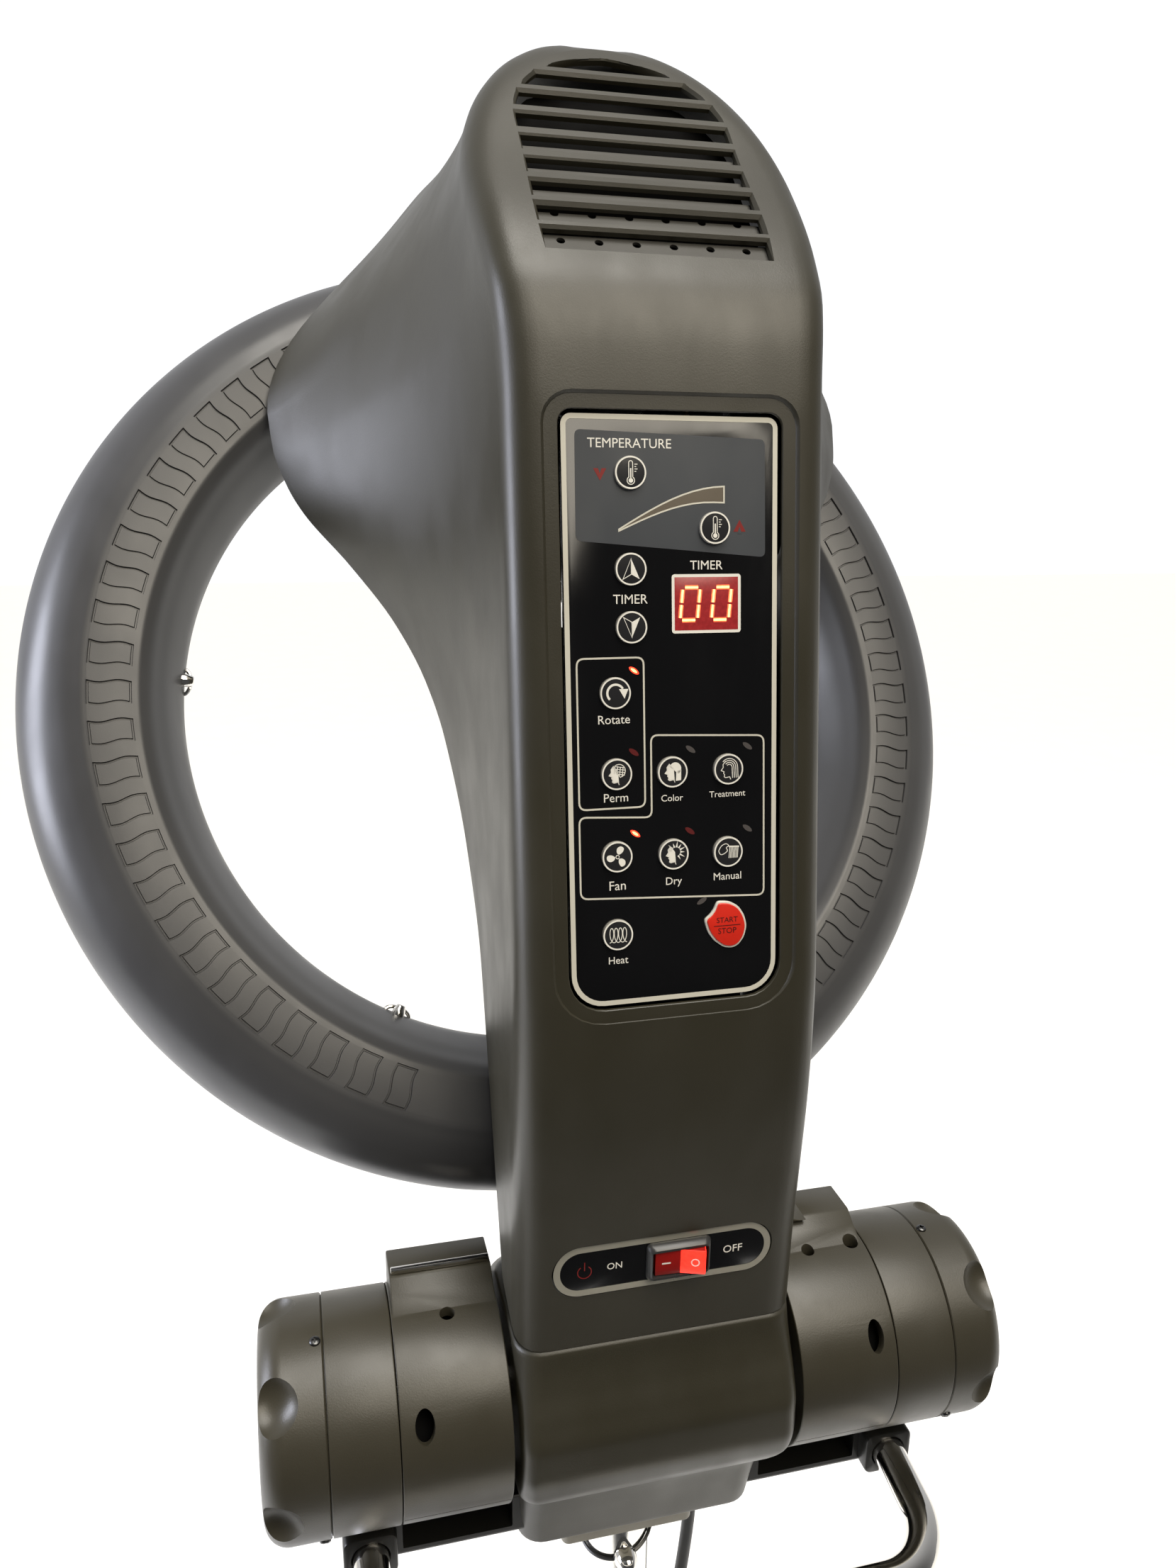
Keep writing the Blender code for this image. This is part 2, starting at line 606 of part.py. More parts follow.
def make_ring(orbit_axis, plastic, dark, quartz):
    """Everything that orbits. The axis points out at the client, and its +Y up the mouth."""
    orbit = empty("orbit", (0, 0, 0), (0, 0, PARK_ANGLE), orbit_axis)
    shaft = [(-0.0190, 0), (-0.0190, 0.0060), (-0.0080, 0.0060), (-0.0080, 0.0150), (-0.0040, 0.0150),
             (-0.0040, HUB_R), (0.0040, HUB_R), (0.0060, HUB_R - 0.003), (0.0060, 0)]
    add("orbit_hub", turned(shaft, 32), dark, orbit)
    center = (0, -RING_DROP, RING_S)
    arm = add("ring_arm", prism(round_box(0.040, 0.026, 0.010, 2, (0, RING_R - RING_DROP - 0.004)),
                                0.0063, 0.030, "z"), dark, orbit)
    around = [math.tau * i / 20 for i in range(20)]
    clear = RING_TUBE + 0.0014
    seat = turned([(clear * math.sin(t), RING_R + clear * math.cos(t)) for t in around], 32)
    cut(arm, tool(seat, orbit, center))
    angles = [math.radians(168 + 27 * i) for i in range(9)]
    outer = [(RING_TUBE * math.sin(a), RING_R + RING_TUBE * math.cos(a)) for a in angles]
    inner = [(0.0352 * math.sin(a), RING_R + 0.0352 * math.cos(a)) for a in reversed(angles)]
    add("ring_back_shell", turned(outer + inner, 32), plastic, orbit, center)
    guard = add("ring_guard", turned([(0.0030, RING_R - 0.0331), (0.0060, RING_R - 0.0331),
                                      (0.0105, RING_R - 0.0200), (0.0105, RING_R + 0.0200),
                                      (0.0060, RING_R + 0.0331), (0.0030, RING_R + 0.0331),
                                      (0.0080, RING_R + 0.0190), (0.0080, RING_R - 0.0190)], 32),
                dark, orbit, center)
    slots = []
    for k in range(16):
        t = math.tau * k / 16
        slot = block((RING_R - 0.016, -0.028, 0.0), (RING_R + 0.016, 0.028, 0.02))
        bmesh.ops.transform(slot, matrix=Matrix.Rotation(t, 4, "Z"), verts=slot.verts)
        slots.append(slot)
    cut(guard, tool(merged(*slots), orbit, center))
    path = []
    for i in range(33):
        t = math.radians(-82 + 344 * i / 32)
        path.append((RING_R * math.cos(t), RING_R * math.sin(t), -0.010))
    add("quartz_tube", swept(path, QUARTZ_R, 6), quartz, orbit, center)


# ---------------------------------------------------------------- the drum hinge

def make_drum_side(axis, side, name, plastic):
    """One side's sleeve, bearing ring and tension knob; side is -1 on the left, +1 on the right."""
    def across(profile):
        return [(side * x, r) for x, r in profile]

    x0, x1 = SLEEVE_X
    inner = DRUM_R - DRUM_WALL
    sleeve = add(f"drum_sleeve_{name}",
                 turned(across([(x0, SHAFT_R + GAP), (x0, DRUM_R), (x1, DRUM_R), (x1, inner),
                                (x0 + 0.005, inner), (x0 + 0.005, SHAFT_R + GAP)]), 28, "x"),
                 plastic, axis)
    saddle = [(-0.010, 0.0492), (0.004, 0.0560), (0.014, SADDLE_Z), (SADDLE_BACK, SADDLE_Z),
              (SADDLE_BACK, 0.0290), (0.020, 0.0440), (-0.004, 0.0480)]
    low, high = sorted((side * (x0 + 0.0003), side * (x1 - 0.001)))
    join(sleeve, tool(prism(saddle, low, high, "x"), axis))
    x0, x1 = BEARING_X
    bearing = add(f"bearing_ring_{name}",
                  turned(across([(x0, inner), (x0, DRUM_R), (x1, DRUM_R), (x1, SHAFT_R + GAP),
                                 (x1 - 0.006, SHAFT_R + GAP), (x1 - 0.006, inner)]), 28, "x"),
                  plastic, axis)
    foot = block((side * EAR_X - 0.009, -0.020, BAR_Z[1] + GAP), (side * EAR_X + 0.009, 0.008, -0.044))
    join(bearing, tool(foot, axis))
    x0, x1 = KNOB_X
    knob = add(f"tension_knob_{name}",
               turned(across([(x0 + 0.004, 0), (x0 + 0.004, 0.040), (x0, 0.040), (x0, DRUM_R),
                              (x1 - 0.016, DRUM_R), (x1 - 0.0075, 0.0480), (x1 - 0.002, 0.0410),
                              (x1, 0.0330), (x1, 0)]), 28, "x"), plastic, axis)
    dimples = []
    for k in range(6):
        ball = bmesh.new()
        bmesh.ops.create_icosphere(ball, subdivisions=1, radius=0.0150)
        t = math.radians(60 * k + 12)
        place = Vector((side * (x1 - 0.0050), 0.0570 * math.cos(t), 0.0570 * math.sin(t)))
        bmesh.ops.translate(ball, vec=place, verts=ball.verts)
        dimples.append(ball)
    cut(knob, tool(merged(*dimples), axis))


def make_lower_cover(axis, plastic):
    """The fixed cover between the drums: a barrel that the head turns over, an apron and the skirt."""
    apron = [(-0.0412, SEAM_Z)] + arc((-0.0300, -0.0280), 0.0120, 180, 262, 3)
    apron += [(-0.010, -0.0440), (0.020, -0.030), (-0.010, 0.030), (-0.020, SEAM_Z - 0.012),
              (-0.027, SEAM_Z)]
    barrel = rod(BARREL_R, -COVER_HALF, COVER_HALF, 32, "x")
    cover = add("lower_cover", barrel, plastic, axis)
    join(cover, tool(prism(apron, 0.0003 - COVER_HALF, COVER_HALF - 0.0003, "x"), axis))
    skirt_rows = [(0.0610, -0.0340, 0.0480, -0.0380), (0.0605, -0.0270, 0.0500, -0.0600),
                  (0.0600, -0.0205, 0.0500, SKIRT_BOTTOM)]
    skirt = bmesh.new()
    rings = []
    for half, front, back, z in skirt_rows:
        middle = (0, (front + back) / 2)
        rings.append([skirt.verts.new((x, y, z))
                      for x, y in round_box(half, (back - front) / 2, 0.010, 2, middle)])
    for here, there in zip(rings, rings[1:]):
        for i in range(len(here)):
            j = (i + 1) % len(here)
            skirt.faces.new((here[i], here[j], there[j], there[i]))
    skirt.faces.new(rings[0])
    skirt.faces.new(rings[-1])
    join(cover, tool(skirt, axis))
    cut(cover, tool(rod(BARREL_R - 0.0045, -COVER_HALF + 0.004, COVER_HALF - 0.004, 32, "x"), axis))
    cut(cover, tool(block((-0.0520, -0.0165, -0.0795), (0.0520, 0.0460, -0.0360)), axis))
    cut(cover, tool(rod(SHAFT_R + GAP, -0.08, 0.08, 16, "x"), axis))
    cut(cover, tool(block((-0.0800, BAR_Y[0] - GAP, BAR_Z[0] - GAP),
                          (0.0800, BAR_Y[1] + GAP, BAR_Z[1] + GAP)), axis))
    cut(cover, tool(rod(MAST_R + GAP, -0.10, -0.070, 24), axis, (0, 0.020, 0)))
    cut(cover, tool(rod(0.0072, -0.10, -0.070, 12), axis, (*GLAND, 0)))


def make_bracket(axis, black, chrome):
    bar = add("bracket", block((-0.1250, BAR_Y[0], BAR_Z[0]), (0.1250, BAR_Y[1], BAR_Z[1])), black, axis)
    for side in (-1, 1):
        ear = prism(round_box(0.0120, 0.0115, 0.004, 2, (side * EAR_X, -0.0640)), -0.0260, 0.0080, "y")
        join(bar, tool(ear, axis))
        cut(bar, tool(rod(HANDLE_R + GAP, -0.0270, -0.0060, 14, "y"), axis, (side * EAR_X, 0, -0.0640)))
    channel = block((-0.1180, BAR_Y[0] - 0.01, BAR_Z[0] + 0.0035),
                    (0.1180, BAR_Y[1] - 0.0030, BAR_Z[1] - 0.0025))
    cut(bar, tool(channel, axis))
    cut(bar, tool(rod(MAST_R + GAP, -0.10, -0.03, 24), axis, (0, 0.020, 0)))
    near = Vector((EAR_X, -0.0065, -0.0640))
    bend = Vector((EAR_X, -0.0250 - HANDLE_REACH, -0.0640 - HANDLE_FALL))
    half = [near, Vector((EAR_X, -0.0260, -0.0640))]
    for i in range(6):
        t = math.radians(18 * i)
        out = HANDLE_BEND * (1 - math.cos(t))
        ahead = HANDLE_BEND * math.sin(t)
        y = bend.y + HANDLE_BEND - ahead
        z = near.z - HANDLE_FALL * (-0.0260 - y) / (-0.0260 - bend.y)
        half.append(Vector((EAR_X - out, y, z)))
    path = half + [Vector((-p.x, p.y, p.z)) for p in reversed(half)]
    add("push_handle", swept(path, HANDLE_R, 12), chrome, axis)


# ---------------------------------------------------------------- the mast and base

def make_mast(axis, chrome, beige, black, steel):
    add("hinge_shaft", turned([(-0.1480, 0), (-0.1480, SHAFT_R), (0.1480, SHAFT_R), (0.1480, 0)], 16, "x"),
        steel, axis)
    mast = (0, MAST_Y, 0)
    top = DRUM_Z + SKIRT_BOTTOM + 0.006
    add("upper_pole", pipe(MAST_R, MAST_R - 0.002, MAST_FOOT, top, 24), chrome, None, mast)
    collar = prism(round_box(0.0350, 0.0230, 0.004, 2), DRUM_Z + COLLAR_BOTTOM, DRUM_Z + SKIRT_BOTTOM - GAP,
                   "z")
    collar = add("pole_collar", collar, beige, None, mast)
    cut(collar, tool(rod(MAST_R + GAP, 0.7, 0.9, 24), None, mast))
    add("pole_bolt", turned([(-0.0280, 0), (-0.0270, 0.004), (-0.0240, 0.0062), (-0.0183, 0.0062),
                             (-0.0183, 0)], 12, "y"), chrome, None, (0, MAST_Y, DRUM_Z - 0.1290))
    outer = add("outer_tube", pipe(TUBE_R, MAST_R + GAP, 0.0640, TUBE_TOP, 20), steel, None, mast)
    sleeve = pipe(0.0290, MAST_R + 2 * GAP, TUBE_TOP - 0.050, TUBE_TOP + 0.004, 24)
    join(outer, tool(sleeve, None, mast))
    boss = rod(0.0110, -0.0400, -0.0240, 14, "y")
    join(outer, tool(boss, None, (0, MAST_Y, TUBE_TOP - 0.023)))
    cut(outer, tool(rod(0.0053, -0.0500, -0.0200, 12, "y"), None, (0, MAST_Y, TUBE_TOP - 0.023)))
    knob = [(-0.0230, 0), (-0.0230, 0.0050), (-0.0403, 0.0050), (-0.0403, 0.0120), (-0.0440, 0.0185),
            (-0.0560, 0.0200), (-0.0620, 0.0170), (-0.0620, 0)]
    add("clamp_knob", turned(knob, 16, "y"), black, None, (0, MAST_Y, TUBE_TOP - 0.023))


def make_base(steel, black, rubber):
    mast = (0, MAST_Y, 0)
    low, high = LEG_Z
    hub = [(low - 0.012, 0), (low - 0.012, HUB_BASE_R), (high + 0.006, HUB_BASE_R), (high + 0.018, 0.032),
           (high + 0.040, 0.029), (high + 0.040, TUBE_R + GAP), (low - GAP, TUBE_R + GAP), (low - GAP, 0)]
    base = add("star_base", turned(hub, 30), steel, None, mast)
    for k in range(5):
        turn = math.radians(90 + 72 * k)
        leg = bmesh.new()
        rings = []
        for reach, half, bottom, top in ((0.030, 0.026, low - 0.010, high + 0.008),
                                         (0.160, 0.020, low, high - 0.001),
                                         (LEG_REACH + 0.016, 0.0150, low + 0.006, high - 0.006)):
            rings.append([leg.verts.new((reach, u, v)) for u, v in
                          round_box(half, (top - bottom) / 2, 0.006, 1, (0, (top + bottom) / 2))])
        for here, there in zip(rings, rings[1:]):
            for i in range(len(here)):
                j = (i + 1) % len(here)
                leg.faces.new((here[i], here[j], there[j], there[i]))
        leg.faces.new(rings[0])
        leg.faces.new(rings[-1])
        join(base, tool(leg, None, mast, (0, 0, turn)))
        x, y = LEG_REACH * math.cos(turn), LEG_REACH * math.sin(turn) + MAST_Y
        cut(base, tool(rod(0.0053, low - 0.01, high - 0.012, 10), None, (x, y, 0)))
        make_caster(k + 1, x, y, turn, low + 0.0035, black, rubber)


def make_caster(number, x, y, turn, under, black, rubber):
    """A swivel fork and its wheel, which trails inwards from the swivel at the leg's end."""
    swivel = empty(f"swivel_{number}", (x, y, 0), (0, 0, turn))
    middle = -CASTER_TRAIL
    top = under - 0.0008
    cheeks = [(-0.046, 0.0300), (-0.0130, 0.0180), (0.0120, 0.0440), (0.0120, top), (-0.0120, top),
              (-0.0320, 0.0560), (-0.0440, 0.0440)]
    fork = add(f"caster_fork_{number}", prism(cheeks, -0.0130, 0.0130, "y"), black, swivel)
    join(fork, tool(rod(0.0050, top - 0.004, top + 0.0105, 10), swivel))
    cut(fork, tool(block((-0.080, -WHEEL_HALF - 0.0008, -0.01), (0.0100, WHEEL_HALF + 0.0008, 0.0530)),
                   swivel))
    join(fork, tool(rod(0.0040, -0.0125, 0.0125, 10, "y"), swivel, (middle, 0, WHEEL_R)))
    wheel = [(-WHEEL_HALF, 0.0043), (-WHEEL_HALF, 0.0220), (-WHEEL_HALF + 0.003, WHEEL_R),
             (WHEEL_HALF - 0.003, WHEEL_R), (WHEEL_HALF, 0.0220), (WHEEL_HALF, 0.0043)]
    add(f"caster_wheel_{number}", turned(wheel, 16, "y"), rubber, swivel, (middle, 0, WHEEL_R))


# ---------------------------------------------------------------- the mains lead

def make_lead(black):
    gland = [(0.8560, 0), (0.8560, 0.0068), (0.8290, 0.0068), (0.8290, 0.0060), (0.8023, 0.0042),
             (0.8023, 0)]
    add("strain_relief", turned(gland, 12), black, None, (GLAND[0], DRUM_Y + GLAND[1], 0))
    data = bpy.data.curves.new("mains_lead", "CURVE")
    data.dimensions = "3D"
    points = smooth_path(LEAD_ROUTE, 0.019)
    line = data.splines.new("POLY")
    line.points.add(len(points) - 1)
    for spot, place in zip(line.points, points):
        spot.co = (*place, 1)
    data.bevel_depth = LEAD_R
    data.bevel_resolution = 2
    data.use_fill_caps = True
    data.materials.append(black)
    lead = bpy.data.objects.new("mains_lead", data)
    bpy.context.scene.collection.objects.link(lead)
    tube = COIL_TURNS_R
    ring = [(tube + tube * math.sin(t), COIL_R + tube * math.cos(t))
            for t in (math.tau * i / 8 for i in range(8))]
    add("lead_coil", turned(ring, 20), black, None, (*COIL_PLACE, 0.0002))
    body = prism(round_box(0.0190, 0.0125, 0.005, 2), 0.0, 0.0160, "z")
    x, y, z = PLUG_PLACE
    plug = add("plug", body, black, None, PLUG_PLACE, (0, 0, PLUG_TURN))
    for side in (-1, 1):
        beside = side * PIN_SPREAD
        pin = rod(0.0024, 0.018, 0.038, 8, "x")
        join(plug, tool(pin, None, (x - beside * math.sin(PLUG_TURN), y + beside * math.cos(PLUG_TURN),
                                    z + 0.0080), (0, 0, PLUG_TURN)))


# ---------------------------------------------------------------- the whole dryer

def main():
    clear_scene()
    olive = (0.060, 0.060, 0.052)
    plastic = material("housing_plastic", olive, 0.42)
    dark = material("dark_plastic", (0.020, 0.020, 0.021), 0.45)
    black = material("black_plastic", (0.012, 0.012, 0.012), 0.40)
    gloss = material("panel_gloss", (0.006, 0.006, 0.007), 0.10)
    glass = material("window_red", (0.180, 0.008, 0.006), 0.08)
    red = material("key_red", (0.600, 0.030, 0.020), 0.30)
    green = material("board_green", (0.015, 0.090, 0.035), 0.50)
    chrome = material("chrome", (0.800, 0.790, 0.760), 0.08, 1.0)
    steel = material("steel", (0.450, 0.450, 0.440), 0.35, 1.0)
    beige = material("beige_plate", (0.520, 0.490, 0.420), 0.45)
    motor_gray = material("motor_gray", (0.200, 0.200, 0.210), 0.50, 0.6)
    copper = material("heater_wire", (0.500, 0.300, 0.180), 0.40, 1.0)
    quartz = material("quartz", (0.750, 0.700, 0.620), 0.12)
    rubber = material("wheel_rubber", (0.030, 0.030, 0.030), 0.70)
    base_paint = material("base_paint", (0.030, 0.030, 0.031), 0.35)

    axis = empty("drum_axis", (0, DRUM_Y, DRUM_Z))
    lean = empty("lean", (0, 0, 0), (-LEAN, 0, 0), axis)
    mouth = empty("mouth", mouth_point(0, 0), mouth_turn().to_euler(), lean)
    orbit_axis = empty("orbit_axis", (0, 0, 0), (0, ORBIT_YAW, 0), mouth)

    make_head_shell(lean, axis, plastic)
    make_rear_cover(lean, plastic)
    make_head_frame(lean, axis, steel)
    make_drives(orbit_axis, mouth, steel, motor_gray, dark, copper)
    make_control_panel(lean, gloss, glass, green)
    make_keys(lean, black, red)
    make_switch(axis, gloss, red)
    make_ring(orbit_axis, plastic, dark, quartz)
    make_drum_side(axis, -1, "left", plastic)
    make_drum_side(axis, 1, "right", plastic)
    make_lower_cover(axis, plastic)
    make_bracket(axis, black, chrome)
    make_mast(axis, chrome, beige, black, steel)
    make_base(base_paint, black, rubber)
    make_lead(black)


main()
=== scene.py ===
"""The looks of the standing halo hair dryer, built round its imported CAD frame: housing, key panel, ring heater,
drum hinge, handle, mast, base and mains lead, each with its own procedural material.

Metres, +Z up, in the CAD's frame: the operator stands at -Y. Shapes of the head are written from the tilt axis,
with z along the key panel, and HEAD turns them forward into place.
"""

import json
import math

import bmesh
import bpy
from mathutils import Matrix, Vector

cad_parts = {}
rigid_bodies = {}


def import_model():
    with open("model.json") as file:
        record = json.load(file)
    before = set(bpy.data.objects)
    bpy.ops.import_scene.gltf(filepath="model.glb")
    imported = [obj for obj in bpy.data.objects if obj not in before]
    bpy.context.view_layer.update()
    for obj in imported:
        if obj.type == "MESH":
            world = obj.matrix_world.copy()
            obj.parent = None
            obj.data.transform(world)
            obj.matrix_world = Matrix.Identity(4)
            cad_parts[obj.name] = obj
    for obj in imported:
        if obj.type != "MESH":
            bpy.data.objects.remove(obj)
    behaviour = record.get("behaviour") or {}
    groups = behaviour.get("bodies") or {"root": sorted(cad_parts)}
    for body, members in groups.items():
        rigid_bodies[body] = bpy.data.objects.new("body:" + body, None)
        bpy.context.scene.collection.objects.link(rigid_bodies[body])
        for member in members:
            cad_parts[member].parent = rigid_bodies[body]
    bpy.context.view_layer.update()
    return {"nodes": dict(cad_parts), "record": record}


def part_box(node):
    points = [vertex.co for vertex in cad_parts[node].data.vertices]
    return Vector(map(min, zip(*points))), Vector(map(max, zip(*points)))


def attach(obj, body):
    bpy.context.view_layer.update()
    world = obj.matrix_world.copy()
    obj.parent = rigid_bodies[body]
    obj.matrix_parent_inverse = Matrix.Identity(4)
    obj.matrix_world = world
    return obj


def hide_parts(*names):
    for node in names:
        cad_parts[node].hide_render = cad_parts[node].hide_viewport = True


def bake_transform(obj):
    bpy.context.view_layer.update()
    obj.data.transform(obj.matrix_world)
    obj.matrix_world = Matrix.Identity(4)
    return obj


for left_over in list(bpy.data.objects):
    bpy.data.objects.remove(left_over)
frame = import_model()
JOINTS = {joint["name"]: joint for joint in frame["record"]["behaviour"]["joints"]}

# Where the main axes are, from the joints
DRUM = Vector(JOINTS["head_tilt"]["pos_m"])
PRESS = Vector(JOINTS["fan_key_press"]["axis"])
LEAN = math.atan2(-PRESS.z, PRESS.y)
HEAD = Matrix.Translation(DRUM) @ Matrix.Rotation(-LEAN, 4, "X")
HINGE = Matrix.Translation(DRUM)
CLAMP = Vector(JOINTS["height_clamp"]["pos_m"])
MAST_Y = CLAMP.y

# The head's housing, as the CAD has it
WALL = 0.003
FACE_HALF = 0.066
CORNER_R = 0.015
FOOT_Z = (0.0425, 0.0602)  # where the foot starts on the face and on the back edge
LEVEL_Z = 0.400  # where a row of the mesh is level from front to back
WIDEN_Z = 0.45
MOUTH_Z = 0.468
MOUTH_Y = 0.101
MOUTH_R = 0.1517
MOUTH_SLOPE = math.radians(16.9)
MOUTH_PINCH = 0.235
NECK_TOP_Z = 0.22
NECK_SLOPE = 0.238
ARCH_Z = 0.54
ARCH_HALF = 0.071
ARCH_RISE = 0.0843
FLARE = 1.55
FACE_PROFILE = [  # (z, y) up the middle of the face
    (0.0425, -0.0473), (0.083, -0.0545), (0.120, -0.0625), (0.156, -0.0700), (0.190, -0.0748),
    (0.215, -0.0767), (0.260, -0.0770), (0.440, -0.0770), (0.468, -0.0760), (0.488, -0.0725),
    (0.508, -0.0616), (0.555, -0.0249), (0.6027, 0.0119), (0.613, 0.0215), (0.6214, 0.0320),
    (0.6243, 0.0426),
]
RIM_HALF = [  # (z, half width) of the housing's back edge, up to where it joins the round mouth
    (0.060, 0.0660), (0.200, 0.0662), (0.255, 0.0690), (0.308, 0.0760), (0.336, 0.0835),
    (0.364, 0.0965), (0.392, 0.1160), (0.418, 0.1370), (0.431, 0.1440), (0.450, 0.1500),
    (0.468, 0.1517),
]
SLOTS = 9
SLOT_PITCH = 0.01515
SLOT_HEIGHT = 0.0097
SLOT_FIRST = (-0.0616, 0.5080)
SLOT_HALF = 0.046
SLOT_ARCH = (0.0758, 0.0497)
GRILLE_SLOPE = math.radians(38)
LEDGE_RISE = 0.0060
HOLE_PITCH = 0.0152
HOLE_R = 0.00175
BADGE_Z = (0.1300, 0.1610)  # a faint plain plate on the lower face
BADGE_DEPTH = 0.00035

# The key panel
PANEL_Y = -0.0737
PANEL_HALF = 0.0444
PANEL_Z = (0.2080, 0.4420)
PANEL_TOP_R = 0.0045
PANEL_FOOT_R = 0.0140
RECESS = 0.0070
FIT = 0.0003
PRINT = 0.00006
KEY_R = 0.0063
KEY_PROUD = 0.0015
START_KEY = (0.0220, 0.2382)
START_SHAPE = [  # the key's edge from its top point clockwise to its left point, and the bite between them
    (-0.0037, 0.0094), (0.0010, 0.0089), (0.0047, 0.0068), (0.0070, 0.0031), (0.0080, -0.0010),
    (0.0070, -0.0052), (0.0047, -0.0082), (0.0021, -0.0091), (-0.0010, -0.0086), (-0.0047, -0.0058),
    (-0.0073, -0.0021), (-0.0088, 0.0026), (-0.0063, 0.0042), (-0.0047, 0.0063),
]
WINDOW_BOX = (0.0004, 0.0277, 0.3589, 0.3804)

# The power switch
SWITCH_Z = 0.0890
SWITCH_Y = -0.0422
SWITCH_HALF = 0.0510
SWITCH_R = 0.0130
ROCKER = (0.0250, 0.0120, 0.0120)
ROCKER_X = 0.0065

# The ring heater
RING_S = 0.0535
RING_R = 0.212
RING_TUBE = 0.038
RING_DROP = 0.1445
PARK_ANGLE = math.radians(8.7)
ORBIT_YAW = math.radians(4.5)
HUB_R = 0.0900

# The drum hinge, handle and mast
DRUM_R = 0.0515
SLEEVE_X = (0.0690, 0.1184)
BEARING_X = (0.1187, 0.1488)
KNOB_X = (0.1492, 0.1780)
SLEEVE_LINE = math.radians(29)
DIMPLE_R = 0.0150
DIMPLE_REACH = 0.0580
SEAM_Z = 0.0483
SKIRT_BOTTOM = -0.0830
SADDLE_Z = 0.0600
SADDLE_BACK = 0.0300
EAR_X = 0.1325
BAR_Y = (-0.0175, 0.0040)
BAR_Z = (-0.0750, -0.0528)
HANDLE_Z = -0.0640
HANDLE_R = 0.0085
HANDLE_REACH = 0.0600
HANDLE_FALL = 0.0100
HANDLE_BEND = 0.0300
MAST_R = 0.0180

# The base and the mains lead
HUB_Z = (0.0640, 0.0900)
LEG_START = 0.0400
LEG_REACH = 0.2900
FORK_TOP = 0.0667
WHEEL_R = 0.0250
LEAD_D = 0.0070
COIL_PLACE = (0.1250, 0.1701)
PLUG_PLACE = (0.2090, 0.1651)
PLUG_TURN = math.radians(15)
LEAD_ROUTE = [  # from the gland under the head down past the mast to the floor, and along it to the coil
    (0.0460, -0.0148, 0.8020), (0.0459, -0.0148, 0.7880), (0.0440, -0.0144, 0.7600),
    (0.0405, -0.0134, 0.7200), (0.0385, -0.0114, 0.6700), (0.0390, -0.0079, 0.6000),
    (0.0430, -0.0009, 0.5100), (0.0490, 0.0091, 0.4200), (0.0550, 0.0211, 0.3300),
    (0.0610, 0.0341, 0.2400), (0.0660, 0.0481, 0.1600), (0.0700, 0.0611, 0.0950),
    (0.0725, 0.0741, 0.0460), (0.0740, 0.0871, 0.0160), (0.0750, 0.1011, 0.0052),
    (0.0757, 0.1171, 0.0038), (0.0764, 0.1351, 0.0038), (0.0772, 0.1551, 0.0038),
]


# ---------------------------------------------------------------- mesh helpers

def grid_mesh(rows, closed_rows=False, closed_columns=False, caps=False):
    """Quads through rows of points."""
    shape = bmesh.new()
    verts = [[shape.verts.new(p) for p in row] for row in rows]
    wide = len(rows[0])
    pairs = list(zip(verts, verts[1:])) + ([(verts[-1], verts[0])] if closed_rows else [])
    for here, there in pairs:
        for i in range(wide if closed_columns else wide - 1):
            j = (i + 1) % wide
            shape.faces.new((here[i], here[j], there[j], there[i]))
    if caps:
        shape.faces.new(verts[0])
        shape.faces.new(verts[-1])
    return shape


def loft(rows):
    """A closed solid through rows of points that each go all the way round."""
    return grid_mesh(rows, closed_columns=True, caps=True)


ORDER = {  # two coordinates across an axis and one along it, in X, Y, Z order
    "x": lambda u, v, w: (w, u, v), "y": lambda u, v, w: (u, w, v), "z": lambda u, v, w: (u, v, w),
}


def prism(outline, low, high, axis="z"):
    """A 2-D outline pushed along an axis; the outline's numbers are the other two coordinates, in order."""
    rows = [[ORDER[axis](u, v, level) for u, v in outline] for level in (low, high)]
    return loft(rows)


def block(low, high):
    return prism([(low[0], low[1]), (high[0], low[1]), (high[0], high[1]), (low[0], high[1])], low[2], high[2])


def arc(center, radius, start, end, steps):
    turns = [math.radians(start + (end - start) * i / steps) for i in range(steps + 1)]
    return [(center[0] + radius * math.cos(t), center[1] + radius * math.sin(t)) for t in turns]


def round_box(half_u, half_v, radius, steps=6, center=(0, 0), lower_radius=None):
    """A rounded rectangle; its two lower corners may have their own radius."""
    points = []
    for side, (su, sv) in enumerate(((1, 1), (-1, 1), (-1, -1), (1, -1))):
        r = radius if sv > 0 or lower_radius is None else lower_radius
        middle = (center[0] + su * (half_u - r), center[1] + sv * (half_v - r))
        points += arc(middle, r, 90 * side, 90 * side + 90, steps)
    return points


def turned(profile, steps=96, axis="z"):
    """An open profile of (along, radius) points turned about an axis; points on the axis close it."""
    angles = [math.tau * i / steps for i in range(steps)]
    rows = [[ORDER[axis](radius * math.cos(t), radius * math.sin(t), level) for t in angles]
            for level, radius in profile]
    shape = grid_mesh(rows, closed_rows=profile[0][1] > 0, closed_columns=True)
    bmesh.ops.remove_doubles(shape, verts=shape.verts, dist=1e-7)
    bmesh.ops.dissolve_degenerate(shape, edges=shape.edges, dist=1e-7)
    return shape


def corner_curve(start, corner, end, steps):
    """Points from start to end on a curve drawn towards the corner."""
    shares = [i / steps for i in range(steps + 1)]
    return [start * (1 - t) ** 2 + corner * 2 * t * (1 - t) + end * t * t for t in shares]


def round_corner(before, corner, after, radius, steps):
    a, b = before - corner, after - corner
    reach = min(radius, a.length * 0.45, b.length * 0.45)
    return corner_curve(corner + a.normalized() * reach, corner, corner + b.normalized() * reach, steps)


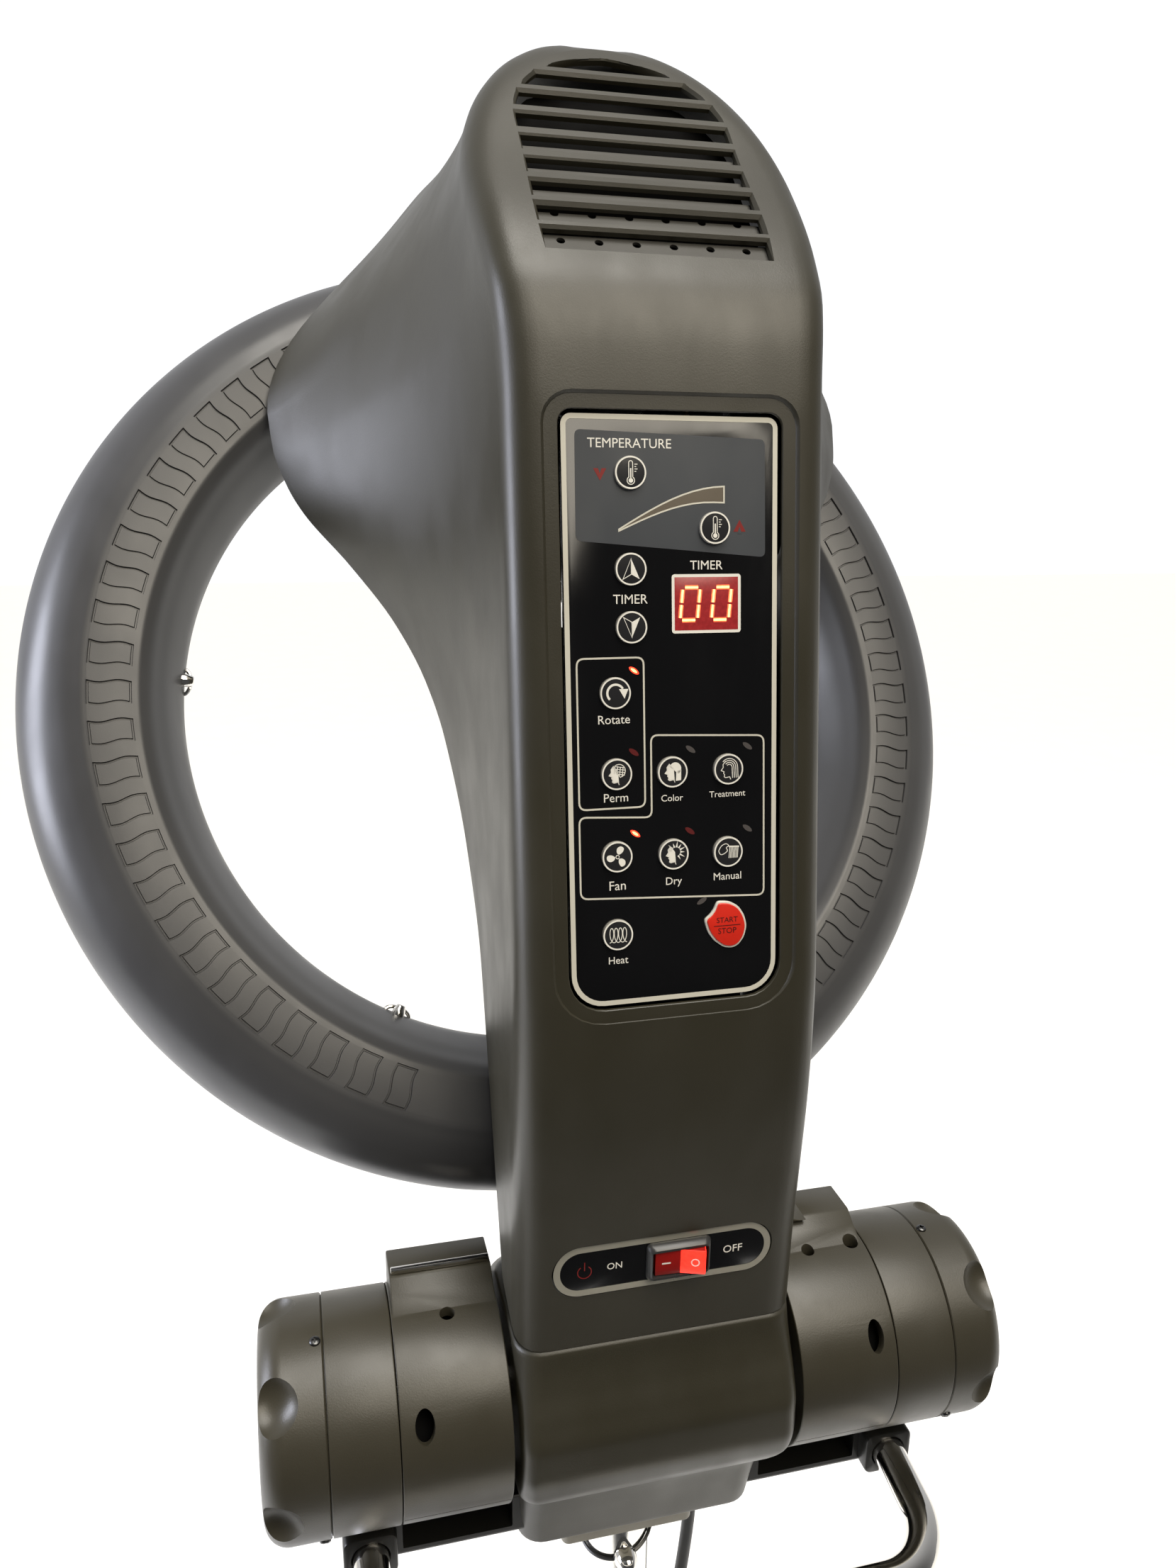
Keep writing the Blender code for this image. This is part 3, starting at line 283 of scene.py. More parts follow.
def rounded(profile, radius, steps=4):
    """The profile with each inner corner turned into a small arc."""
    points = [Vector(p) for p in profile]
    out = [points[0]]
    for before, corner, after in zip(points, points[1:], points[2:]):
        out += round_corner(before, corner, after, radius, steps)
    return [tuple(p) for p in (*out, points[-1])]


def rounded_line(corners, radius, steps=5):
    """A closed outline through corners, each one rounded."""
    points = [Vector(p) for p in corners]
    out = []
    for i, corner in enumerate(points):
        out += round_corner(points[i - 1], corner, points[(i + 1) % len(points)], radius, steps)
    return [tuple(p) for p in out]


def swept(path, radius, sides=16, closed=False):
    """A round bar along points; radius is a number or a function of the share of the way along."""
    path = [Vector(p) for p in path]
    count = len(path)
    rows = []
    normal = None
    for i, point in enumerate(path):
        after = path[(i + 1) % count] if closed else path[min(i + 1, count - 1)]
        before = path[i - 1] if closed else path[max(i - 1, 0)]
        ahead = (after - before).normalized()
        if normal is None:
            normal = ahead.orthogonal().normalized()
        normal = (normal - ahead * normal.dot(ahead)).normalized()
        across = ahead.cross(normal)
        r = radius(i / (count - 1)) if callable(radius) else radius
        rows.append([point + r * (math.cos(t) * normal + math.sin(t) * across)
                     for t in (math.tau * k / sides for k in range(sides))])
    return grid_mesh(rows, closed_rows=closed, closed_columns=True, caps=not closed)


def smooth_path(route, step):
    """Points about step apart on a Catmull-Rom curve through the route."""
    route = [Vector(p) for p in route]
    ends = [2 * route[0] - route[1], *route, 2 * route[-1] - route[-2]]
    fine = []
    for a, b, c, d in zip(ends, ends[1:], ends[2:], ends[3:]):
        for i in range(12):
            t = i / 12
            fine.append(0.5 * ((2 * b) + (c - a) * t + (2 * a - 5 * b + 4 * c - d) * t * t
                               + (3 * b - 3 * c + d - a) * t ** 3))
    fine.append(route[-1])
    kept = [fine[0]]
    for point in fine[1:-1]:
        if (point - kept[-1]).length >= step:
            kept.append(point)
    return kept + [fine[-1]]


def through(points, at):
    """A smooth curve through (x, y) points, read at one x, with no overshoot."""
    if at <= points[0][0]:
        return points[0][1]
    if at >= points[-1][0]:
        return points[-1][1]
    slopes = [(b[1] - a[1]) / (b[0] - a[0]) for a, b in zip(points, points[1:])]
    k = next(i for i, (a, b) in enumerate(zip(points, points[1:])) if at <= b[0])

    def tangent(i):
        if i == 0 or i == len(points) - 1:
            return slopes[min(i, len(slopes) - 1)]
        before, after = slopes[i - 1], slopes[i]
        return 0 if before * after <= 0 else 2 * before * after / (before + after)

    (x0, y0), (x1, y1) = points[k], points[k + 1]
    wide = x1 - x0
    t = (at - x0) / wide
    return (y0 * (1 + 2 * t) * (1 - t) ** 2 + tangent(k) * wide * t * (1 - t) ** 2
            + y1 * t * t * (3 - 2 * t) + tangent(k + 1) * wide * t * t * (t - 1))


def polar(radius, angle):
    return radius * math.cos(angle), radius * math.sin(angle)


def moved(shape, matrix):
    bmesh.ops.transform(shape, matrix=matrix, verts=shape.verts)
    return shape


UPRIGHT = Matrix.Rotation(math.pi / 2, 4, "X")  # turns a drawing in X and Y to face the operator


def merged(*shapes):
    """Several bmeshes as one."""
    whole = bmesh.new()
    for shape in shapes:
        mesh = bpy.data.meshes.new("part")
        bmesh.ops.recalc_face_normals(shape, faces=shape.faces)
        shape.to_mesh(mesh)
        shape.free()
        whole.from_mesh(mesh)
        bpy.data.meshes.remove(mesh)
    return whole


def soften(shape, width, segments=2, angle=35):
    """Rounds a bmesh's sharp edges."""
    bmesh.ops.recalc_face_normals(shape, faces=shape.faces)
    edges = [e for e in shape.edges if e.is_manifold and e.calc_face_angle(0) > math.radians(angle)]
    bmesh.ops.bevel(shape, geom=edges, offset=width, segments=segments, profile=0.5, affect="EDGES",
                    clamp_overlap=True)
    return shape


def painted(shape, index):
    for face in shape.faces:
        face.material_index = index
    return shape


def raw(name, shape, lay=Matrix.Identity(4)):
    mesh = bpy.data.meshes.new(name)
    moved(shape, lay)
    bmesh.ops.recalc_face_normals(shape, faces=shape.faces)
    shape.to_mesh(mesh)
    shape.free()
    made = bpy.data.objects.new(name, mesh)
    bpy.context.scene.collection.objects.link(made)
    return made


def bake(item):
    """Turns an object's modifiers into its mesh."""
    graph = bpy.context.evaluated_depsgraph_get()
    mesh = bpy.data.meshes.new_from_object(item.evaluated_get(graph))
    item.modifiers.clear()
    old, item.data = item.data, mesh
    bpy.data.meshes.remove(old)


def carve(item, cutter, operation="DIFFERENCE"):
    """Cuts or joins a bmesh, given in the object's coordinates."""
    other = raw("cutter", cutter)
    step = item.modifiers.new("cut", "BOOLEAN")
    step.operation = operation
    step.solver = "EXACT"
    step.object = other
    bake(item)
    bpy.data.objects.remove(other)
    return item


def dress(item, looks, body, replaced=(), lay=Matrix.Identity(4), sharp=32):
    """Its place, materials, smooth shading with sharp edges, the body it moves with and the nodes it stands for."""
    mesh = item.data
    mesh.transform(lay)
    indices = [poly.material_index for poly in mesh.polygons]
    mesh.materials.clear()
    for look in looks if isinstance(looks, (list, tuple)) else [looks]:
        mesh.materials.append(look)
    mesh.polygons.foreach_set("material_index", indices)
    mesh.shade_smooth()
    mesh.set_sharp_from_angle(angle=math.radians(sharp))
    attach(item, body)
    if replaced:
        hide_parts(*([replaced] if isinstance(replaced, str) else replaced))
    return item


def piece(name, shape, looks, body, replaced=(), lay=Matrix.Identity(4), sharp=32):
    return dress(raw(name, shape, lay), looks, body, replaced, sharp=sharp)


# ---------------------------------------------------------------- materials

def blank(name, color, roughness, metallic=0.0, **sockets):
    """A Principled material and its node tree. A keyword is a socket's name with _ for its spaces."""
    made = bpy.data.materials.new(name)
    made.use_nodes = True
    made.diffuse_color = (*color, 1.0)
    shader = made.node_tree.nodes["Principled BSDF"]
    shader.inputs["Base Color"].default_value = (*color, 1.0)
    shader.inputs["Roughness"].default_value = roughness
    shader.inputs["Metallic"].default_value = metallic
    for key, value in sockets.items():
        shader.inputs[key.replace("_", " ")].default_value = value
    return made


def noise(tree, scale, detail=3.0, stretch=(1, 1, 1)):
    """Noise in the object's own space: scale is in features per metre."""
    place = tree.nodes.new("ShaderNodeTexCoord")
    lay = tree.nodes.new("ShaderNodeMapping")
    lay.inputs["Scale"].default_value = stretch
    made = tree.nodes.new("ShaderNodeTexNoise")
    made.inputs["Scale"].default_value = scale
    made.inputs["Detail"].default_value = detail
    tree.links.new(place.outputs["Object"], lay.inputs["Vector"])
    tree.links.new(lay.outputs["Vector"], made.inputs["Vector"])
    return made.outputs["Fac"]


def spread(tree, value, low, high, source=(0.3, 0.7)):
    made = tree.nodes.new("ShaderNodeMapRange")
    made.inputs["From Min"].default_value = source[0]
    made.inputs["From Max"].default_value = source[1]
    made.inputs["To Min"].default_value = low
    made.inputs["To Max"].default_value = high
    tree.links.new(value, made.inputs["Value"])
    return made.outputs["Result"]


def tinted(tree, value, low, high):
    made = tree.nodes.new("ShaderNodeValToRGB")
    made.color_ramp.elements[0].position = 0.3
    made.color_ramp.elements[1].position = 0.7
    made.color_ramp.elements[0].color = (*low, 1.0)
    made.color_ramp.elements[1].color = (*high, 1.0)
    tree.links.new(value, made.inputs["Fac"])
    return made.outputs["Color"]


def bumped(tree, height, strength, distance):
    made = tree.nodes.new("ShaderNodeBump")
    made.inputs["Strength"].default_value = strength
    made.inputs["Distance"].default_value = distance
    tree.links.new(height, made.inputs["Height"])
    return made.outputs["Normal"]


def moulded(name, color, roughness, grain=0.25, scale=1500, vary=0.10, **sockets):
    """Moulded plastic or paint: fine grain, cloudy colour and handling marks in the gloss."""
    made = blank(name, color, roughness, **sockets)
    tree = made.node_tree
    shader = tree.nodes["Principled BSDF"]
    cloudy = noise(tree, 9, 4)
    low, high = [tuple(c * (1 + side * vary) for c in color) for side in (-1, 1)]
    tree.links.new(tinted(tree, cloudy, low, high), shader.inputs["Base Color"])
    handled = noise(tree, 45, 6, (1, 1, 0.5))
    tree.links.new(spread(tree, handled, roughness - 0.05, roughness + 0.06), shader.inputs["Roughness"])
    tree.links.new(bumped(tree, noise(tree, scale, 2), grain, 0.00012), shader.inputs["Normal"])
    return made


def metal(name, color, roughness, stretch=(1, 1, 1), grain=0.05, vary=0.05):
    """Metal with faint streaks in its polish."""
    made = blank(name, color, roughness, 1.0)
    tree = made.node_tree
    shader = tree.nodes["Principled BSDF"]
    streaks = noise(tree, 160, 4, stretch)
    tree.links.new(spread(tree, streaks, roughness * 0.8, roughness * 1.3), shader.inputs["Roughness"])
    low, high = [tuple(c * (1 + side * vary) for c in color) for side in (-1, 1)]
    tree.links.new(tinted(tree, noise(tree, 20, 3), low, high), shader.inputs["Base Color"])
    tree.links.new(bumped(tree, streaks, grain, 0.0001), shader.inputs["Normal"])
    return made


def lit(name, color, strength, base=(0.02, 0.0, 0.0)):
    """A glowing colour, a little uneven: a lamp behind a coloured lens, and on the rocker a painted highlight."""
    made = blank(name, base, 0.25, Emission_Strength=strength)
    tree = made.node_tree
    shader = tree.nodes["Principled BSDF"]
    low = tuple(c * 0.75 for c in color)
    tree.links.new(tinted(tree, noise(tree, 700, 2), low, color), shader.inputs["Emission Color"])
    return made


OLIVE = (0.029, 0.026, 0.016)
HOUSING = moulded("housing_plastic", OLIVE, 0.40, grain=0.30, scale=1500, Specular_IOR_Level=0.5)
DRUM_PLASTIC = moulded("drum_plastic", (0.038, 0.034, 0.023), 0.38, grain=0.32, scale=1400)
RING_PLASTIC = moulded("ring_plastic", (0.054, 0.054, 0.056), 0.36, grain=0.12, scale=1800)
DARK = moulded("dark_plastic", (0.014, 0.014, 0.014), 0.42, grain=0.25, scale=1200)
BLACK = moulded("black_paint", (0.010, 0.010, 0.009), 0.34, grain=0.20, scale=900)
INSIDE = moulded("inside_plastic", (0.050, 0.048, 0.042), 0.55, grain=0.2, scale=1200)
# near-black, painted shade: the dark inside the grille, inside the drum sleeves and in the seams between drum parts
SHADE_BLACK = moulded("painted_shade_black", (0.002, 0.002, 0.002), 0.8, grain=0.1, Specular_IOR_Level=0.1)
GLOSS = moulded("panel_film", (0.0035, 0.0035, 0.004), 0.13, grain=0.02, scale=400, vary=0.2)
GREY = moulded("panel_grey", (0.055, 0.060, 0.068), 0.30, grain=0.05, scale=600)
CREAM = moulded("print_cream", (0.62, 0.60, 0.52), 0.35, grain=0.05, scale=900, vary=0.06)
SILVER = moulded("print_silver", (0.52, 0.50, 0.42), 0.30, grain=0.05, scale=900, Metallic=0.55)
WHITE = moulded("print_white", (0.80, 0.78, 0.72), 0.40, grain=0.05, scale=900, vary=0.05)
PRINT_RED = moulded("print_red", (0.20, 0.010, 0.008), 0.35, grain=0.05, scale=900)
KEY_RIM = moulded("key_rim", (0.62, 0.60, 0.54), 0.28, grain=0.05, scale=900)
DARK_RED = moulded("print_dark_red", (0.045, 0.004, 0.003), 0.4, grain=0.05, scale=900)
KEY_BLACK = moulded("key_black", (0.018, 0.018, 0.020), 0.22, grain=0.06, scale=900)
KEY_RED = moulded("key_red", (0.62, 0.020, 0.008), 0.32, grain=0.08, scale=900)
LED_OFF = moulded("led_off", (0.080, 0.072, 0.070), 0.25, grain=0.04, scale=900)
LED_ROSE = moulded("led_rose", (0.110, 0.016, 0.016), 0.25, grain=0.04, scale=900)
LED_CORE = lit("led_core", (1.0, 0.66, 0.22), 3.2)
WEDGE = moulded("print_wedge", (0.120, 0.100, 0.075), 0.32, grain=0.05, scale=700)
KEY_SIDE = moulded("key_side", (0.300, 0.290, 0.260), 0.30, grain=0.05, scale=900)
BEZEL = moulded("bezel_plastic", (0.028, 0.028, 0.028), 0.30, grain=0.10, scale=900)
LED_ON = lit("led_on", (1.0, 0.05, 0.02), 3.0)
DIGIT_OFF = lit("digit_off", (1.0, 0.07, 0.07), 0.36)
DIGIT_ON = lit("digit_on", (1.0, 0.16, 0.06), 2.2)
ROCKER_RED = moulded("rocker_red", (0.30, 0.008, 0.006), 0.16, grain=0.06, scale=500)
# glowing red on the rocker's right front: a painted highlight for the light that falls there
ROCKER_HIGHLIGHT = lit("rocker_painted_highlight", (1.0, 0.03, 0.015), 2.2, base=(0.3, 0.01, 0.01))
CHROME = metal("chrome", (0.80, 0.78, 0.74), 0.07, (1, 1, 0.2), grain=0.02)
POLE = metal("pole_chrome", (0.78, 0.77, 0.74), 0.09, (1, 1, 0.05), grain=0.03)
STEEL = metal("steel", (0.52, 0.51, 0.49), 0.30, (0.1, 1, 1), grain=0.10)
SCREW = metal("black_screw", (0.10, 0.10, 0.10), 0.28)
REFLECTOR = metal("reflector", (0.75, 0.75, 0.74), 0.22)
BEIGE = moulded("beige_plate", (0.24, 0.22, 0.17), 0.45, grain=0.15, scale=900)
QUARTZ = moulded("quartz", (0.62, 0.58, 0.50), 0.12, grain=0.03, scale=300)
COPPER = metal("heater_wire", (0.50, 0.30, 0.18), 0.40)
PAINT = moulded("base_paint", (0.020, 0.020, 0.020), 0.36, grain=0.30, scale=800)
RUBBER = moulded("wheel_rubber", (0.028, 0.028, 0.029), 0.62, grain=0.35, scale=700)
CABLE = moulded("cable_jacket", (0.010, 0.010, 0.010), 0.44, grain=0.15, scale=900)


# ---------------------------------------------------------------- the housing

def mouth_point(u, v, s=0.0):
    """A point from the mouth's centre: u to the right, v up the mouth's plane, s out towards the client."""
    c, n = math.cos(MOUTH_SLOPE), math.sin(MOUTH_SLOPE)
    return Vector((u, MOUTH_Y + v * n + s * c, MOUTH_Z + v * c - s * n))


MOUTH_TURN = Matrix.Rotation(-(math.pi / 2 + MOUTH_SLOPE), 4, "X") @ Matrix.Rotation(math.pi, 4, "Z")
MOUTH = HEAD @ Matrix.Translation(mouth_point(0, 0)) @ MOUTH_TURN
ORBIT = MOUTH @ Matrix.Rotation(ORBIT_YAW, 4, "Y") @ Matrix.Rotation(PARK_ANGLE, 4, "Z")
RING = ORBIT @ Matrix.Translation((0, -RING_DROP, RING_S))


def upper_rim(t, radius=MOUTH_R):
    """The mouth's edge from its widest place (t = 0) to its top: a circle that is pinched in at the shoulder."""
    return radius * math.cos(t) * (1 - MOUTH_PINCH * math.sin(2 * t) ** 2), radius * math.sin(t)


def rim_y(z):
    plane = MOUTH_Y + (z - MOUTH_Z) * math.tan(MOUTH_SLOPE)
    neck = MOUTH_Y + (NECK_TOP_Z - MOUTH_Z) * math.tan(MOUTH_SLOPE) + NECK_SLOPE * (z - NECK_TOP_Z)
    return plane if z > NECK_TOP_Z else neck


def face_y(z):
    return through(FACE_PROFILE, z)


def face_half(z):
    grow = min(max((z - WIDEN_Z) / (ARCH_Z - WIDEN_Z), 0), 1)
    return FACE_HALF + (ARCH_HALF - FACE_HALF) * grow * grow * (3 - 2 * grow)


def housing_rows(body_rows, arch_rows):
    """For each row up the housing: the face edge, the point inset from it, and the back edge's point."""
    rows = []
    for i in range(body_rows + 1):
        z = FOOT_Z[0] + (ARCH_Z - FOOT_Z[0]) * i / body_rows
        if z < LEVEL_Z:
            rim_z = FOOT_Z[1] + (z - FOOT_Z[0]) * (LEVEL_Z - FOOT_Z[1]) / (LEVEL_Z - FOOT_Z[0])
        else:
            rim_z = LEVEL_Z + (z - LEVEL_Z) * (MOUTH_Z - LEVEL_Z) / (ARCH_Z - LEVEL_Z)
        half = face_half(z)
        rows.append((Vector((half, face_y(z), z)), Vector((half - CORNER_R, face_y(z), z)),
                     Vector((through(RIM_HALF, rim_z), rim_y(rim_z), rim_z))))
    for i in range(1, arch_rows + 1):
        t = math.pi / 2 * i / arch_rows
        c, n = math.cos(t), math.sin(t)
        z, inset_z = ARCH_Z + ARCH_RISE * n, ARCH_Z + (ARCH_RISE - CORNER_R * 0.7) * n
        rows.append((Vector((ARCH_HALF * c, face_y(z), z)),
                     Vector(((ARCH_HALF - CORNER_R) * c, face_y(inset_z), inset_z)),
                     mouth_point(*upper_rim(t))))
    return rows


def housing_section(row, face_steps, corner_steps, side_steps):
    """Half a row's points, from the face's middle line round the corner to the back edge."""
    edge, inset, rim = row
    start = edge + (rim - edge).normalized() * CORNER_R
    start.x = edge.x
    points = [Vector((inset.x * i / face_steps, inset.y, inset.z)) for i in range(face_steps)]
    points += corner_curve(inset, edge, start, corner_steps)
    for i in range(1, side_steps + 1):
        t = i / side_steps
        place = start.lerp(rim, t)
        place.x = start.x + (rim.x - start.x) * t ** FLARE
        points.append(place)
    return points


def slot_edge(along):
    """Half the grille's width at a distance up its slope from the first slot."""
    past = max(along - SLOT_ARCH[0], 0) / SLOT_ARCH[1]
    return SLOT_HALF * math.sqrt(max(1 - past * past, 0))


def slot_cutter(k):
    """One slot, flared at the surface so that its lips catch the light."""
    rows = []
    tall = SLOT_HEIGHT * (1.2 if k == 0 else 1)
    for level, flare in ((-0.0140, 0), (-0.0007, 0), (0.0033, 0.0040)):
        low, high = k * SLOT_PITCH - tall / 2 - flare, k * SLOT_PITCH + tall / 2 + flare
        sides = [low + (high - low) * i / 8 for i in range(9)]
        half = [(max(slot_edge(min(max(v, low + flare), high - flare)), 0.0012) + flare, v) for v in sides]
        rows.append([(u, v, level) for u, v in half] + [(-u, v, level) for u, v in reversed(half)])
    return loft(rows)


def flared(outline_at, y_levels):
    """A cutter into the face: outline_at(grow) is its outline made larger, y_levels are (y, grow)."""
    return loft([[(u, y, v) for u, v in outline_at(grow)] for y, grow in y_levels])


def panel_outline(grow, steps=6):
    middle = (0, (PANEL_Z[0] + PANEL_Z[1]) / 2)
    return round_box(PANEL_HALF + grow, (PANEL_Z[1] - PANEL_Z[0]) / 2 + grow, max(PANEL_TOP_R + grow, 0.0006),
                     steps, middle, PANEL_FOOT_R + grow)


GRILLE_LAY = Matrix.Translation((0, *SLOT_FIRST)) @ Matrix.Rotation(math.pi / 2 - GRILLE_SLOPE, 4, "X")


def make_housing():
    rows = []
    for row in housing_rows(96, 36):
        half = housing_section(row, 8, 6, 22)
        rows.append([Vector((-p.x, p.y, p.z)) for p in reversed(half[1:])] + half)
    shape = grid_mesh(rows)
    bmesh.ops.remove_doubles(shape, verts=shape.verts, dist=1e-6)
    bmesh.ops.dissolve_degenerate(shape, edges=shape.edges, dist=1e-6)
    shell = raw("housing", shape)
    skin = shell.modifiers.new("wall", "SOLIDIFY")
    skin.thickness = WALL
    skin.offset = -1
    skin.use_even_offset = False
    bake(shell)
    carve(shell, merged(*[moved(slot_cutter(k), GRILLE_LAY) for k in range(SLOTS)]))
    carve(shell, flared(lambda grow: panel_outline(RECESS + grow),
                        ((-0.0755, -0.0004), (-0.0761, 0), (-0.0775, 0.0016), (-0.0835, 0.0076))))
    carve(shell, flared(panel_outline, ((-0.0650, 0.0011), (-0.0752, 0.0011), (-0.0802, 0.0061))))
    seat = flared(lambda grow: round_box(SWITCH_HALF + grow, SWITCH_R + grow, SWITCH_R + grow - 1e-4, 10,
                                         (0, SWITCH_Z)),
                  ((-0.0330, 0.0002), (-0.0437, 0.0002), (-0.0487, 0.0052)))
    carve(shell, moved(seat, Matrix.Rotation(LEAN, 4, "X")))
    low, high = BADGE_Z
    middle = (low + high) / 2
    sunk = (face_y(low) + face_y(high)) / 2 + BADGE_DEPTH
    tilt = math.atan((face_y(high) - face_y(low)) / (high - low))
    badge = prism(round_box(0.0385, 0.0150, 0.0015, 2, (0.0040, middle)), sunk - 0.01, sunk, "y")
    carve(shell, moved(badge, Matrix.Translation((0, 0, middle)) @ Matrix.Rotation(-tilt, 4, "X")
                       @ Matrix.Translation((0, 0, -middle))))
    dress(shell, HOUSING, "head", "head_shell", HEAD, sharp=28)
    shell.modifiers.new("even_light", "WEIGHTED_NORMAL").keep_sharp = True
    bake(shell)


def make_baffle():
    """The near-black sheet under the grille is painted shade for the dark space inside; the ledges that show in its
    lower slots are drilled in two rows.
    """
    outline = [(slot_edge(v) + 0.004, v) for v in (-0.011 + 0.1350 * i / 12 for i in range(13))]
    outline += [(-u, v) for u, v in reversed(outline)]
    piece("grille_shade_sheet", prism(outline, -0.0145, -0.0130), SHADE_BLACK, "head", (), HEAD @ GRILLE_LAY)
    ledges = []
    for k, share in enumerate((0.55, 0.36, 0.22, 0.12, 0.10)):
        low = k * SLOT_PITCH - SLOT_HEIGHT / 2
        ledges.append(block((-SLOT_HALF - 0.002, low - 0.0015, -0.0047),
                            (SLOT_HALF + 0.002, low + share * SLOT_HEIGHT + LEDGE_RISE, -0.0035)))
    plate = raw("grille_ledges", merged(*ledges))
    holes = [prism(arc(((i - 2.5) * HOLE_PITCH - 0.0004, k * SLOT_PITCH + rise), HOLE_R, 0, 345, 23), -0.009, 0.0)
             for k, rise in ((0, 0.0030), (1, 0.0044)) for i in range(6)]
    carve(plate, merged(*holes))
    dress(plate, INSIDE, "head", (), HEAD @ GRILLE_LAY)


# ---------------------------------------------------------------- the key panel

def on_panel(x, z, lift=PRINT):
    """Lays a flat shape drawn in X and Y on the panel at (x, z), facing the operator."""
    return HEAD @ Matrix.Translation((x, PANEL_Y - lift, z)) @ UPRIGHT


def lettering(words, width, x, y, index=0):
    """Text of a given width, centred, as a thin mesh."""
    data = bpy.data.curves.new("words", "FONT")
    data.body = words
    data.align_x = "CENTER"
    data.align_y = "CENTER"
    data.resolution_u = 3
    item = bpy.data.objects.new("words", data)
    bpy.context.scene.collection.objects.link(item)
    mesh = bpy.data.meshes.new_from_object(item.evaluated_get(bpy.context.evaluated_depsgraph_get()))
    shape = bmesh.new()
    shape.from_mesh(mesh)
    bpy.data.objects.remove(item)
    bpy.data.curves.remove(data)
    bpy.data.meshes.remove(mesh)
    low, high = min(v.co.x for v in shape.verts), max(v.co.x for v in shape.verts)
    size = width / (high - low)
    moved(shape, Matrix.Translation((x, y, 0)) @ Matrix.Scale(size, 4))
    return painted(shape, index)


def sheet_of(outline, index=0, level=0.0):
    shape = bmesh.new()
    shape.faces.new([shape.verts.new((u, v, level)) for u, v in outline])
    return painted(shape, index)


def ribbon(points, width, index=0, closed=False, level=0.0):
    """A flat line of one width with mitred corners."""
    points = [Vector(p).to_2d() for p in points]
    count = len(points)
    sides = []
    for i, point in enumerate(points):
        before = points[i - 1] if closed or i else point
        after = points[(i + 1) % count] if closed or i < count - 1 else point
        a = (point - before).normalized() if (point - before).length else (after - point).normalized()
        b = (after - point).normalized() if (after - point).length else a
        across = Vector((-(a + b).y, (a + b).x)).normalized()
        reach = width / 2 / max(across.dot(Vector((-a.y, a.x))), 0.4)
        sides.append((point + across * reach, point - across * reach))
    shape = bmesh.new()
    verts = [[shape.verts.new((p.x, p.y, level)) for p in pair] for pair in sides]
    for i in range(count if closed else count - 1):
        j = (i + 1) % count
        shape.faces.new((verts[i][0], verts[i][1], verts[j][1], verts[j][0]))
    return painted(shape, index)


def flat_piece(name, shapes, looks, body, lay):
    """Thin printed shapes as one piece, given a little thickness."""
    shape = merged(*shapes)
    for face in shape.faces:
        if face.normal.z < 0:
            face.normal_flip()
    moved(shape, lay)
    item = bpy.data.objects.new(name, bpy.data.meshes.new(name))
    bpy.context.scene.collection.objects.link(item)
    shape.to_mesh(item.data)
    shape.free()
    for look in looks if isinstance(looks, list) else [looks]:
        item.data.materials.append(look)
    thick = item.modifiers.new("thick", "SOLIDIFY")
    thick.thickness = PRINT * 0.8
    thick.offset = 1
    bake(item)
    return dress(item, looks, body)


LABELS = [  # words, width, x, z
    ("TEMPERATURE", 0.0335, -0.0169, 0.4307), ("TIMER", 0.0140, -0.0174, 0.3716),
    ("TIMER", 0.0136, 0.0140, 0.3845), ("Rotate", 0.0130, -0.0248, 0.3248),
    ("Perm", 0.0100, -0.0244, 0.2936), ("Color", 0.0092, -0.0010, 0.2923),
    ("Treatment", 0.0155, 0.0227, 0.2928), ("Fan", 0.0068, -0.0243, 0.2578),
    ("Dry", 0.0068, -0.0006, 0.2581), ("Manual", 0.0120, 0.0227, 0.2585), ("Heat", 0.0082, -0.0245, 0.2269),
]
DULL, ROSE, LIT = range(3)
LEDS = [  # x, z, how it looks
    (-0.0163, 0.3440, LIT), (-0.0168, 0.3117, ROSE), (0.0070, 0.3118, DULL), (0.0314, 0.3121, DULL),
    (-0.0166, 0.2788, LIT), (0.0065, 0.2785, ROSE), (0.0314, 0.2781, DULL), (0.0115, 0.2489, DULL),
]


def key_place(name):
    """The middle of a key's CAD box, from the tilt axis."""
    low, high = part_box(name)
    return HEAD.inverted() @ ((low + high) / 2)


def make_panel():
    panel = raw("key_panel", soften(flared(panel_outline, ((PANEL_Y, -0.0002), (PANEL_Y + 0.003, -0.0002))),
                                    0.0003, 2, 60))
    holes = []
    for name in KEY_ICONS:
        place = key_place(name)
        holes.append(prism(arc((place.x, place.z), KEY_R + FIT, 0, 352.5, 47), -0.08, -0.06, "y"))
    holes.append(prism(start_outline(START_KEY, 0.0013), -0.08, -0.06, "y"))
    x0, x1, z0, z1 = WINDOW_BOX
    holes.append(block((x0, -0.08, z0), (x1, -0.06, z1)))
    carve(panel, merged(*holes))
    dress(panel, GLOSS, "head", "control_panel", HEAD)
    make_panel_print()
    make_panel_lamps()


